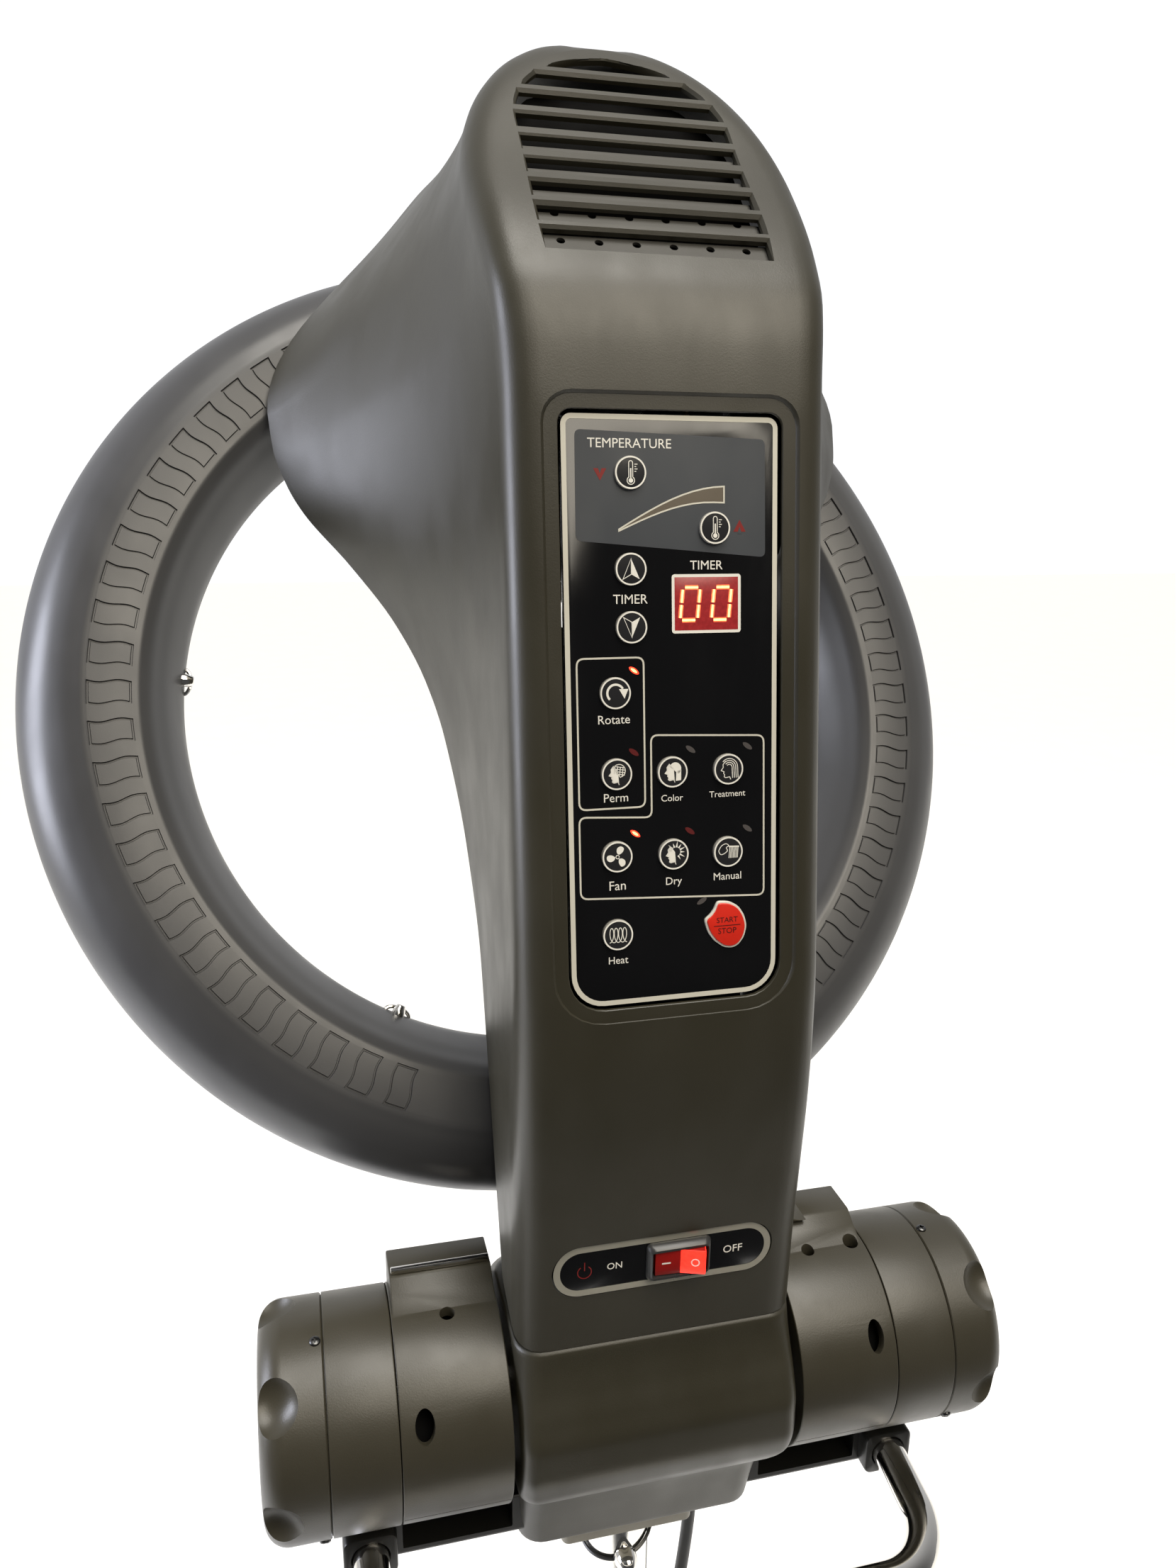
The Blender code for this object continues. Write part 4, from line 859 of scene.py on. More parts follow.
def make_panel_print():
    white, grey_film, red, cream, tan = range(5)
    shapes = [ribbon(panel_outline(-0.0014, 8), 0.0020, cream, True)]
    grey = rounded_line([(-0.0386, 0.4358), (0.0387, 0.4332), (0.0389, 0.3876), (-0.0389, 0.3942)], 0.0025)
    shapes.append(sheet_of(grey, grey_film, -PRINT / 2))
    shapes += [lettering(words, width, x, z, white) for words, width, x, z in LABELS]
    first = rounded_line([(-0.0395, 0.3491), (-0.0123, 0.3491), (-0.0123, 0.2895), (-0.0395, 0.2895)], 0.0030)
    second = rounded_line([(-0.0096, 0.3182), (0.0385, 0.3162), (0.0387, 0.2495), (-0.0396, 0.2535),
                           (-0.0396, 0.2866), (-0.0096, 0.2850)], 0.0030)
    shapes += [ribbon(frame_line, 0.0007, cream, True) for frame_line in (first, second)]
    left, wide = -0.0216, 0.0431
    top = [(left + wide * i / 10, 0.3985 + 0.0155 * math.sin(math.pi / 2 * i / 10) + 0.0010 * i / 10)
           for i in range(11)]
    wedge = [*top, (0.0215, 0.4088)]
    wedge += [(u, v - 0.0006 - 0.0058 * (u - left) / wide) for u, v in reversed(top[:-1])]
    shapes += [sheet_of(wedge, tan, PRINT / 4), ribbon(wedge, 0.0006, cream, True, PRINT / 2)]
    for x, z, way in ((-0.0289, 0.4194, -1), (0.0280, 0.3996, 1)):
        for half, foot, tip, index, level in ((0.0026, 0.0020, 0.0026, red, PRINT / 2),
                                              (0.0010, 0.0028, 0, grey_film, PRINT)):
            arrow = [(x - half, z - way * foot), (x + half, z - way * foot), (x, z + way * tip)]
            shapes.append(sheet_of(arrow[::way], index, level))
    x0, x1, z0, z1 = WINDOW_BOX
    border = round_box((x1 - x0) / 2 + 0.0002, (z1 - z0) / 2 + 0.0002, 0.0006, 3, ((x0 + x1) / 2, (z0 + z1) / 2))
    shapes.append(ribbon(border, 0.0012, white, True))
    flat_piece("panel_print", shapes, [WHITE, GREY, PRINT_RED, CREAM, WEDGE], "head", on_panel(0, 0))


def make_panel_lamps():
    lamps = []
    core = 3
    for x, z, kind in LEDS:
        leaf = [(math.cos(t), math.sin(t) * abs(math.sin(t)) ** 0.2) for t in (math.tau * i / 20 for i in range(20))]
        turn = Matrix.Translation((x, z, 0)) @ Matrix.Rotation(math.radians(30 if z < 0.26 else -35), 4, "Z")
        lamps.append(moved(sheet_of([(0.0024 * u, 0.0010 * v) for u, v in leaf], kind), turn))
        if kind == LIT:
            lamps.append(moved(sheet_of([(0.0015 * u, 0.0005 * v) for u, v in leaf], core, PRINT), turn))
    flat_piece("panel_lamps", lamps, [LED_OFF, LED_ROSE, LED_ON, LED_CORE], "head",
               on_panel(0, 0, PRINT * 2))


def make_window():
    x0, x1, z0, z1 = WINDOW_BOX
    pane = soften(block((x0 + FIT, PANEL_Y - 0.0002, z0 + FIT), (x1 - FIT, PANEL_Y + 0.0024, z1 - FIT)), 0.0002)
    piece("display_pane", pane, DIGIT_OFF, "head", "display_window", HEAD)
    slant, half, tall, bar, gap = 0.10, 0.0036, 0.0064, 0.0009, 0.0009

    def digits(width, index, level):
        """Two noughts in slanted strokes."""
        strokes = [((-half + gap, v), (half - gap, v)) for v in (-tall, tall)]
        strokes += [((side, low), (side, high)) for side in (-half, half)
                    for low, high in ((-tall + gap, -gap / 2), (gap / 2, tall - gap))]
        return [ribbon([(middle + u + slant * v, v) for u, v in stroke], width, index, level=level)
                for middle in (-0.0069, 0.0062) for stroke in strokes]

    flat_piece("display_digits", digits(bar * 2, 0, 0) + digits(bar * 0.9, 1, PRINT), [DIGIT_ON, LED_CORE], "head",
               on_panel((x0 + x1) / 2, (z0 + z1) / 2, 0.0003))


def start_outline(center, grow=0.0):
    """The start key's outline about a center, made larger all round."""
    outline = []
    for u, v in START_SHAPE:
        share = 1 + grow / math.hypot(u, v)
        outline.append((center[0] + u * share, center[1] + v * share))
    return rounded_line(outline, 0.0018, 4)


def ring_line(radius, start, end, width, steps=20, center=(0, 0)):
    return ribbon(arc(center, radius, start, end, steps), width)


LINE = 0.0003


def icon_thermometer():
    tube = arc((0, 0.0036), 0.0008, 0, 180, 6) + arc((0, -0.0030), 0.0015, 122, 418, 12)
    ticks = [ribbon([(0.0015, 0.0004 + 0.0009 * i), (0.0027 if i % 2 else 0.0022, 0.0004 + 0.0009 * i)], LINE)
             for i in range(4)]
    return [ribbon(tube, LINE, closed=True), ribbon([(0, -0.0024), (0, 0.0016)], 0.0005),
            sheet_of(arc((0, -0.0030), 0.0009, 0, 330, 11)), *ticks]


def icon_arrow(way):
    tip, notch = (0, 0.0040 * way), (0, -0.0020 * way)
    return [ribbon([tip, (-0.0034, -0.0039 * way), notch], LINE, closed=True),
            sheet_of([tip, (0.0034, -0.0039 * way), notch])]


def icon_rotate():
    return [ring_line(0.0034, 30, 225, 0.0009), sheet_of([(0.0052, 0.0016), (0.0014, 0.0016), (0.0036, -0.0022)])]


def icon_head(style):
    """A plain head turned to the left, with the hair of its programme."""
    profile = [(0.0008, -0.0042), (0.0004, -0.0031), (-0.0014, -0.0034), (-0.0020, -0.0030), (-0.0018, -0.0022),
               (-0.0023, -0.0015), (-0.0020, -0.0010), (-0.0033, -0.0004), (-0.0024, 0.0008), (-0.0025, 0.0020),
               (-0.0014, 0.0034)]
    shapes = [ribbon(profile, LINE)]
    if style != "treatment":
        shapes.append(sheet_of([*profile, (0.0004, 0.0010)]))
    if style == "perm":
        cap = arc((0.0008, 0.0014), 0.0026, -80, 150, 12)
        shapes.append(ribbon(cap, LINE, closed=True))
        for i in range(4):
            x = -0.0008 + 0.0011 * i
            shapes.append(ribbon([(x, 0.0036 - 0.0003 * i), (x - 0.0004, 0.0002 - 0.0003 * i)], LINE))
            shapes.append(ribbon([(-0.0012 + 0.0003 * i, 0.0032 - 0.0010 * i),
                                  (0.0032, 0.0026 - 0.0010 * i)], LINE))
    elif style == "color":
        shapes += [sheet_of(arc((0.0010, 0.0014), 0.0025, -60, 160, 14)),
                   sheet_of([(0.0012, -0.0036), (0.0034, -0.0034), (0.0035, 0.0008), (0.0014, 0.0002)])]
    elif style == "treatment":
        for i in range(4):
            reach = 0.0012 + 0.0008 * i
            shapes.append(ribbon(arc((0.0002, 0.0008), reach, 140, 0, 8) + [(0.0004 + reach, -0.0036)], LINE))
    else:
        for i in range(9):
            t = math.radians(165 - 28 * i)
            spike = (polar(0.0019, t + 0.22), polar(0.0019, t - 0.22), polar(0.0038 + 0.0006 * (i % 2), t))
            shapes.append(sheet_of([(0.0008 + u, 0.0010 + v) for u, v in spike]))
    return shapes


def icon_fan():
    shapes = [ring_line(0.0007, 0, 345, LINE)]
    blade = [(0.0004, 0.0008), (0.0020, 0.0016), (0.0029, 0.0034), (0.0014, 0.0045), (-0.0003, 0.0036),
             (-0.0004, 0.0018)]
    for k in range(3):
        shapes.append(moved(sheet_of(rounded_line(blade, 0.0010, 3)), Matrix.Rotation(math.tau * k / 3, 4, "Z")))
    return shapes


def icon_comb():
    hand = [(-0.0044, 0.0006), (-0.0030, 0.0028), (-0.0010, 0.0036), (0.0004, 0.0026), (-0.0012, 0.0018),
            (-0.0002, 0.0006), (-0.0016, -0.0006), (-0.0034, -0.0012)]
    teeth = [ribbon([(0.0006 + 0.0006 * i, 0.0020), (0.0002 + 0.0006 * i, -0.0026)], LINE) for i in range(7)]
    return [ribbon(rounded_line(hand, 0.0008, 3), LINE, closed=True), *teeth,
            ribbon([(0.0002, 0.0022), (0.0046, 0.0020)], 0.0006)]


def icon_coil():
    points = []
    for i in range(97):
        t = math.tau * 4 * i / 96
        points.append((-0.0036 + 0.0072 * i / 96 + 0.0012 * math.sin(t), -0.0030 * math.cos(t)))
    return [ribbon(points, LINE)]


KEY_ICONS = {
    "temperature_down_key": icon_thermometer, "temperature_up_key": icon_thermometer,
    "timer_up_key": lambda: icon_arrow(1), "timer_down_key": lambda: icon_arrow(-1),
    "rotate_key": icon_rotate, "perm_key": lambda: icon_head("perm"), "color_key": lambda: icon_head("color"),
    "treatment_key": lambda: icon_head("treatment"), "fan_key": icon_fan, "dry_key": lambda: icon_head("dry"),
    "manual_key": icon_comb, "heat_key": icon_coil,
}


def make_keys():
    for name, icon in KEY_ICONS.items():
        place = key_place(name)
        cap = rounded([(0.0028, 0), (0.0028, KEY_R), (-KEY_PROUD, KEY_R), (-KEY_PROUD, 0)], 0.0004)
        key = turned(cap, 64, "y")
        bmesh.ops.recalc_face_normals(key, faces=key.faces)
        for face in key.faces:
            face.material_index = 1 if abs(face.normal.y) < 0.6 else 0
        lay = HEAD @ Matrix.Translation((place.x, PANEL_Y, place.z))
        piece(name + "_cap", key, [KEY_BLACK, KEY_SIDE], name, name, lay)
        flat_piece(name + "_icon", icon() + [ring_line(KEY_R - 0.0004, 0, 360, 0.0006, 48)], WHITE, name,
                   on_panel(place.x, place.z, KEY_PROUD + PRINT / 2))
    x, z = START_KEY
    for name, grow, front, look in (("start_stop_rim", 0.0010, -0.0009, KEY_RIM),
                                    ("start_stop_cap", 0.0001, -KEY_PROUD, KEY_RED)):
        body = soften(prism(start_outline((0, 0), grow), front, 0.0026 + grow, "y"), 0.0004, 3)
        piece(name, body, look, "start_stop_key",
              "start_stop_key" if look is KEY_RED else (), HEAD @ Matrix.Translation((x, PANEL_Y, z)))
    words = [lettering("START", 0.0092, x, z + 0.0022), lettering("STOP", 0.0080, x, z - 0.0024),
             ribbon([(x - 0.0058, z - 0.0001), (x + 0.0058, z - 0.0001)], 0.0003)]
    flat_piece("start_stop_words", words, DARK_RED, "start_stop_key",
               on_panel(0, 0, KEY_PROUD + PRINT / 2))


def make_switch():
    white, silver, red = range(3)
    tilt = HINGE @ Matrix.Translation((0, SWITCH_Y, SWITCH_Z)) @ UPRIGHT
    outline = round_box(SWITCH_HALF - FIT, SWITCH_R - FIT, SWITCH_R - 0.0005, 16)
    plate = raw("switch_panel", soften(prism(outline, -0.003, 0), 0.0003, 2, 60))
    wide, _, tall = ROCKER

    def opening(room):
        return block((ROCKER_X - wide / 2 - room, -tall / 2 - room, -0.02),
                     (ROCKER_X + wide / 2 + room, tall / 2 + room, 0.02))

    carve(plate, opening(0.0006))
    dress(plate, GLOSS, "head", "switch_plate", tilt)
    border = round_box(SWITCH_HALF - 0.0020, SWITCH_R - 0.0020, SWITCH_R - 0.0022, 16)
    symbol = [ring_line(0.0031, 125, 415, 0.00045, center=(-0.0365, -0.0005)),
              ribbon([(-0.0365, 0.0002), (-0.0365, 0.0044)], 0.00045)]
    shapes = [ribbon(border, 0.0030, silver, True), lettering("ON", 0.0068, -0.0228, 0.0004, white),
              lettering("OFF", 0.0090, 0.0323, -0.0001, white), *(painted(s, red) for s in symbol)]
    flat_piece("switch_print", shapes, [WHITE, SILVER, PRINT_RED], "head",
               tilt @ Matrix.Translation((0, 0, PRINT)))
    steps = ((0.0001, 0), (0.0008, 0), (0.0034, 0.0012), (0.0040, 0.0018))
    rim = loft([[(ROCKER_X + u, v, level) for u, v in round_box(0.0150 - inward, 0.0093 - inward, 0.0025, 5)]
                for level, inward in steps])
    bezel = carve(raw("rocker_bezel", rim), opening(0.0004))
    dress(bezel, BEZEL, "head", (), tilt)
    rock = [(-wide / 2 + 0.0010, -0.0028), (0, -0.0034), (wide / 2 - 0.0018, -0.0070), (wide / 2 - 0.0008, -0.0030),
            (wide / 2 - 0.001, 0.0060), (0.004, 0.0110), (-0.004, 0.0110), (-wide / 2 + 0.001, 0.0080)]
    lay = HINGE @ Matrix.Translation((ROCKER_X, SWITCH_Y, SWITCH_Z))
    shape = soften(prism(rock, -tall / 2, tall / 2, "z"), 0.0004)
    bmesh.ops.recalc_face_normals(shape, faces=shape.faces)
    # the right front faces get the glowing red: a painted highlight where the light falls on the rocker
    for face in shape.faces:
        middle = face.calc_center_median()
        face.material_index = 1 if middle.x > 0 and middle.y < 0 else 0
    piece("rocker_cap", shape, [ROCKER_RED, ROCKER_HIGHLIGHT], "rocker", "power_rocker", lay)
    top = Matrix.Translation((0, -0.0034, 0))
    left = top @ Matrix.Rotation(math.atan2(-0.0006, wide / 2), 4, "Z")
    right = top @ Matrix.Rotation(math.atan2(-0.0036, wide / 2 - 0.0018), 4, "Z")
    proud = Matrix.Translation((0, -0.0001, 0)) @ UPRIGHT
    marks = [moved(ribbon([(-0.0085, 0), (-0.0045, 0)], 0.0007), left @ proud),
             moved(ring_line(0.0017, 0, 360, 0.0005, center=(0.0066, 0)), right @ proud)]
    flat_piece("rocker_marks", marks, WHITE, "rocker", lay)


# ---------------------------------------------------------------- the ring heater

RING_SECTION = [  # (away from the ring's axis, out towards the client) round the back shell
    (0.0362, 0.0066), (0.0376, 0.0030), (0.0380, -0.0020), (0.0366, -0.0112), (0.0322, -0.0208),
    (0.0250, -0.0290), (0.0160, -0.0345), (0.0085, -0.0369), (0.0042, -0.0374), (-0.0165, -0.0362),
    (-0.0200, -0.0348), (-0.0235, -0.0315), (-0.0268, -0.0262), (-0.0305, -0.0200), (-0.0340, -0.0125),
    (-0.0368, -0.0050), (-0.0378, 0.0010), (-0.0376, 0.0034), (-0.0362, 0.0066),
]
LAMP_S = -0.010
LOUVRES = 70
LOUVRE_BAND = (0.0036, -0.0149)
LOUVRE_HALF = 0.0051
GROOVE = ((-0.0006, 0), (-0.0003, 0.0011), (0.0003, 0.0011), (0.0006, 0.0003))  # (inside the outline, depth)


def louvre_depth(inside):
    """How deep the shell is sunk at a distance inside a louvre's outline."""
    if inside <= GROOVE[0][0]:
        return 0
    for (a, deep_a), (b, deep_b) in zip(GROOVE, GROOVE[1:]):
        if inside <= b:
            return deep_a + (deep_b - deep_a) * (inside - a) / (b - a)
    return GROOVE[-1][1]


def make_ring_shell():
    band_high, band_low = LOUVRE_BAND
    marks = [offset for offset, _ in GROOVE]
    stops = [band_high - m for m in marks]
    stops += [band_high - (band_high - band_low) * i / 12 for i in range(1, 12)]
    stops += [band_low + m for m in reversed(marks)]
    spline = [(p.x, p.z) for p in smooth_path([(r, 0, s) for r, s in RING_SECTION], 0.0012)]
    k = next(i for i, (r, s) in enumerate(spline) if s < -0.03 and r < stops[0])
    fine = [p for p in spline[:k] if p[0] > stops[0] + 0.0004 or p[1] > -0.03]
    fine += [(r, -0.0375 + 2.7 * (0.0042 - r) ** 2) for r in stops]
    fine += [p for p in spline[k:] if p[0] < stops[-1] - 0.0004]
    pitch = math.tau / LOUVRES
    half = [LOUVRE_HALF - m for m in marks] + [LOUVRE_HALF * 0.5]
    across = [-0.5 * pitch, -0.41 * pitch] + [-h / RING_R for h in half] + [0]
    across += [h / RING_R for h in reversed(half)] + [0.41 * pitch]
    columns = []
    for n in range(LOUVRES):
        middle = (n + 0.5) * pitch
        from_top = abs((math.degrees(middle) - 90 + 180) % 360 - 180)
        open_here = 13 < from_top < 166
        side = 1 if math.cos(middle) > 0 else -1
        for offset in across:
            column = []
            for r, s in fine:
                share = min(max((r - band_low) / (band_high - band_low), 0), 1)
                inside = min(LOUVRE_HALF - abs(offset) * RING_R, band_high - r, r - band_low)
                t = middle + offset + math.radians(0.2) * math.sin(math.tau * share) * side
                reach = RING_R + r
                column.append((*polar(reach, t), s + (louvre_depth(inside + 1e-9) if open_here else 0)))
            columns.append(column)
    inner = [polar(0.0340, math.radians(171 + 9 * i)) for i in range(23)]
    for column in columns:
        t = math.atan2(column[-1][1], column[-1][0])
        column += [(*polar(RING_R + u, t), s) for u, s in inner]
    shape = grid_mesh(columns, closed_rows=True, closed_columns=True)
    piece("ring_shell", shape, RING_PLASTIC, "halo", "ring_back_shell", RING, sharp=38)


def make_ring_front():
    dish = [(0.0315 * math.sin(a), RING_R + 0.0315 * math.cos(a)) for a in (math.radians(100 + 10 * i)
                                                                             for i in range(17))]
    back = [(s * 0.975, RING_R + (r - RING_R) * 0.975) for s, r in reversed(dish)]
    piece("ring_reflector", turned(dish + back, 144), REFLECTOR, "halo", (), RING)
    profile = [(0.0032, RING_R - 0.0334), (0.0062, RING_R - 0.0334), (0.0108, RING_R - 0.0200),
               (0.0108, RING_R + 0.0200), (0.0062, RING_R + 0.0334), (0.0032, RING_R + 0.0334),
               (0.0084, RING_R + 0.0192), (0.0084, RING_R - 0.0192)]
    guard = raw("ring_grille", turned(profile, 192))
    slots = []
    for k in range(64):
        outline = [(RING_R + u, v) for u, v in round_box(0.0175, 0.0062, 0.0060, 5)]
        slots.append(moved(prism(outline, -0.01, 0.03), Matrix.Rotation(math.tau * k / 64, 4, "Z")))
    carve(guard, merged(*slots))
    dress(guard, DARK, "halo", "ring_guard", RING)
    path = [(*polar(RING_R, math.radians(-82 + 344 * i / 120)), LAMP_S) for i in range(121)]
    piece("quartz_lamp", swept(path, 0.0055, 14), QUARTZ, "halo", "quartz_tube", RING)
    wire = []
    for i in range(1501):
        t = math.radians(-80 + 340 * i / 1500)
        turn = math.tau * 125 * i / 1500
        reach = RING_R + 0.0059 * math.cos(turn)
        wire.append((*polar(reach, t), LAMP_S + 0.0059 * math.sin(turn)))
    piece("lamp_winding", swept(wire, 0.0004, 5), COPPER, "halo", (), RING)
    caps = []
    for t in (-82, 262):
        turn = math.radians(t)
        place = Matrix.Translation((*polar(RING_R, turn), LAMP_S))
        caps.append(moved(soften(block((-0.008, -0.009, -0.008), (0.008, 0.009, 0.008)), 0.0015),
                          place @ Matrix.Rotation(turn, 4, "Z")))
    piece("lamp_holders", merged(*caps), BEIGE, "halo", (), RING)
    clips = []
    for degrees in (184, -3, 248, 288):
        turn = math.radians(degrees)
        lay = Matrix.Rotation(turn, 4, "Z") @ Matrix.Translation((RING_R - 0.0372, 0, -0.0030))
        loop = [(-0.0035 * math.sin(math.radians(a)), 0.0065 * math.cos(math.radians(a)), 0.004)
                for a in range(0, 181, 15)]
        clips.append(moved(swept(loop, 0.0010, 10), lay))
        clips.append(moved(turned(rounded([(-0.0050, 0), (-0.0050, 0.0022), (-0.0012, 0.0034), (0.003, 0.0034),
                                           (0.003, 0)], 0.0008), 20, "x"), lay))
    piece("ring_clips", merged(*clips), CHROME, "halo", (), RING)


def make_hub():
    shaft = rounded([(-0.0190, 0), (-0.0190, 0.0060), (-0.0080, 0.0060), (-0.0080, 0.0150), (-0.0040, 0.0150),
                     (-0.0040, HUB_R), (0.0040, HUB_R), (0.0060, HUB_R - 0.003), (0.0060, HUB_R - 0.012),
                     (0.0048, HUB_R - 0.014), (0.0048, 0.052), (0.0062, 0.050), (0.0062, 0)], 0.0008)
    piece("hub_disc", turned(shaft, 128), DARK, "halo", "orbit_hub", ORBIT)
    heads = []
    for k in range(6):
        place = Matrix.Rotation(math.tau * k / 6 + 0.3, 4, "Z") @ Matrix.Translation((0.064, 0, 0.0048))
        heads.append(moved(screw_head(0.0034), place))
    piece("hub_screws", merged(*heads), SCREW, "halo", (), ORBIT)
    arm = raw("ring_bracket", soften(prism(round_box(0.040, 0.026, 0.010, 8, (0, RING_R - RING_DROP - 0.004)),
                                           0.0063, 0.030), 0.0025, 3))
    around = [math.tau * i / 60 for i in range(60)]
    clear = RING_TUBE + 0.0010
    seat = turned([(clear * math.sin(t), RING_R + clear * math.cos(t)) for t in around], 128)
    carve(arm, moved(seat, Matrix.Translation((0, -RING_DROP, RING_S))))
    dress(arm, DARK, "halo", "ring_arm", ORBIT)


def screw_head(radius):
    """A pan-head screw lying on z = 0, with a crossed recess."""
    head = raw("screw", turned(rounded([(-0.0004, 0), (-0.0004, radius), (radius * 0.30, radius * 0.92),
                                        (radius * 0.48, radius * 0.45), (radius * 0.50, 0)], radius * 0.2), 24))
    arm, deep = radius * 0.55, radius * 0.16
    for half_x, half_y in ((arm, deep), (deep, arm)):
        carve(head, block((-half_x, -half_y, radius * 0.12), (half_x, half_y, radius)))
    shape = bmesh.new()
    shape.from_mesh(head.data)
    bpy.data.objects.remove(head)
    return shape


# ---------------------------------------------------------------- the drum hinge

def drum_hole(x, degrees, half_x, half_round):
    """An oval cutter through a drum's wall, with its middle at an angle above the front."""
    outline = [(half_x * math.cos(t), half_round * math.sin(t)) for t in (math.tau * i / 32 for i in range(32))]
    cutter = loft([[(u * g, -y, v * g) for u, v in outline] for y, g in
                   ((0.040, 1), (DRUM_R - 0.0005, 1), (DRUM_R + 0.003, 1.35))])
    return moved(cutter, Matrix.Rotation(math.radians(-degrees), 4, "X") @ Matrix.Translation((x, 0, 0)))


def shade_seam_end(item, x):
    """Paints the flat end at a distance from the middle near-black: painted shade in the seam between two drum parts.
    """
    for poly in item.data.polygons:
        if abs(poly.normal.x) > 0.9 and abs(abs(poly.center.x) - x) < 0.0006:
            poly.material_index = 1


def make_drum_side(side, name):
    """One side's sleeve, bearing ring and tension knob; side is -1 on the left, +1 on the right."""
    def across(profile, radius=0.0007):
        return [(side * x, r) for x, r in rounded(profile, radius)]

    x0, x1 = SLEEVE_X
    inner = DRUM_R - 0.0055
    sleeve = raw(f"sleeve_{name}", turned(across([(x0, 0.013), (x0, DRUM_R), (x1, DRUM_R), (x1, inner),
                                                  (x0 + 0.006, inner), (x0 + 0.006, 0.013)]), 128, "x"))
    saddle = [(-0.010, 0.0492), (0.0035, 0.0556), (0.0090, SADDLE_Z - 0.0006), (0.0105, SADDLE_Z),
              (SADDLE_BACK, SADDLE_Z), (SADDLE_BACK, 0.0380), (0.020, 0.0440), (-0.004, 0.0480)]
    low, high = sorted((side * (x0 + 0.0003), side * (x1 - 0.001)))
    carve(sleeve, soften(prism(saddle, low, high, "x"), 0.0008), "UNION")
    if side < 0:
        holes = [drum_hole(-0.0928, 80, 0.0034, 0.0034), drum_hole(-0.1076, 28, 0.0042, 0.0076)]
    else:
        holes = [drum_hole(0.0882, 83, 0.0031, 0.0031), drum_hole(0.1118, 84, 0.0036, 0.0036),
                 drum_hole(0.1084, 32, 0.0038, 0.0078)]
    carve(sleeve, merged(*holes))
    line = block((low + side * 0.0005, -DRUM_R - 0.002, -0.00035), (high + 0.004, -DRUM_R + 0.0009, 0.00035))
    carve(sleeve, moved(line, Matrix.Rotation(SLEEVE_LINE, 4, "X")))
    shade_seam_end(sleeve, x1)
    dress(sleeve, [DRUM_PLASTIC, SHADE_BLACK], "head", f"drum_sleeve_{name}", HINGE)
    # a near-black core inside the sleeve: painted shade seen through its holes
    dark = [(side * x, r) for x, r in ((x0 + 0.008, 0), (x0 + 0.008, inner - 0.004), (x1 - 0.002, inner - 0.004),
                                       (x1 - 0.002, 0))]
    piece(f"sleeve_shade_core_{name}", turned(dark, 48, "x"), SHADE_BLACK, "head", (), HINGE)

    x0, x1 = BEARING_X
    bearing = raw(f"bearing_{name}", turned(across([(x0, inner), (x0, DRUM_R), (x1, DRUM_R), (x1, DRUM_R - 0.0012),
                                                    (x1 + 0.00035, DRUM_R - 0.0012), (x1 + 0.00035, 0.013),
                                                    (x1 - 0.006, 0.013), (x1 - 0.006, inner)]), 128, "x"))
    foot = soften(block((side * EAR_X - 0.0095, -0.021, BAR_Z[1] + 0.0003), (side * EAR_X + 0.0095, 0.009, -0.044)),
                  0.0015)
    carve(bearing, foot, "UNION")
    shade_seam_end(bearing, x0)
    shade_seam_end(bearing, x1)
    dress(bearing, [DRUM_PLASTIC, SHADE_BLACK], "lift", f"bearing_ring_{name}", HINGE)

    x0, x1 = KNOB_X
    edge = arc((x1 - 0.0110, DRUM_R - 0.0110), 0.0110, 90, 5, 14)
    profile = [(x0 + 0.004, 0), (x0 + 0.004, 0.040), (x0, 0.0404), (x0, DRUM_R - 0.0006), (x0 + 0.0006, DRUM_R),
               *edge, (x1, 0.0330), (x1, 0.0320), (x1, 0)]
    knob = raw(f"knob_{name}", turned([(side * x, r) for x, r in profile], 144, "x"))
    dimples = []
    for k in range(6):
        ball = bmesh.new()
        bmesh.ops.create_uvsphere(ball, u_segments=40, v_segments=24, radius=DIMPLE_R)
        moved(ball, Matrix.Translation((side * (x1 - 0.0040), *polar(DIMPLE_REACH, math.radians(60 * k + 12)))))
        dimples.append(ball)
    carve(knob, merged(*dimples))
    shade_seam_end(knob, x0)
    dress(knob, [DRUM_PLASTIC, SHADE_BLACK], f"knob_{name}", f"tension_knob_{name}", HINGE, sharp=30)
    heads = []
    for k in range(3):
        turn = Matrix.Rotation(-math.radians((76 if side < 0 else 86) + 120 * k), 4, "X")
        place = Matrix.Translation((side * (x0 + 0.0032), -DRUM_R, 0))
        heads.append(moved(screw_head(0.0026), turn @ place @ UPRIGHT))
    piece(f"knob_screws_{name}", merged(*heads), SCREW, f"knob_{name}", (), HINGE)


COVER_FRONT = [
    (-0.0830, -0.0205), (-0.0600, -0.0270), (-0.0460, -0.0318), (-0.0415, -0.0345), (-0.0380, -0.0385),
    (-0.0300, -0.0462), (-0.0200, -0.0525), (-0.0080, -0.0555), (0.0050, -0.0553), (0.0180, -0.0515),
    (0.0300, -0.0465), (0.0400, -0.0432), (0.0483, -0.0415),
]
COVER_BACK = [
    (-0.0830, 0.0500), (-0.0600, 0.0500), (-0.0400, 0.0480), (-0.0250, 0.0501), (0, 0.0560),
    (0.0250, 0.0501), (0.0400, 0.0392), (0.0483, 0.0283),
]
COVER_HALF = [
    (-0.0830, 0.0600), (-0.0440, 0.0612), (-0.0380, 0.0630), (-0.0300, 0.0650), (-0.0180, 0.0660), (0.0483, 0.0660),
]
COVER_CORNER = [(-0.0830, 0.0120), (-0.0440, 0.0120), (-0.0200, 0.0080), (0.0100, 0.0080), (0.0483, 0.0130)]


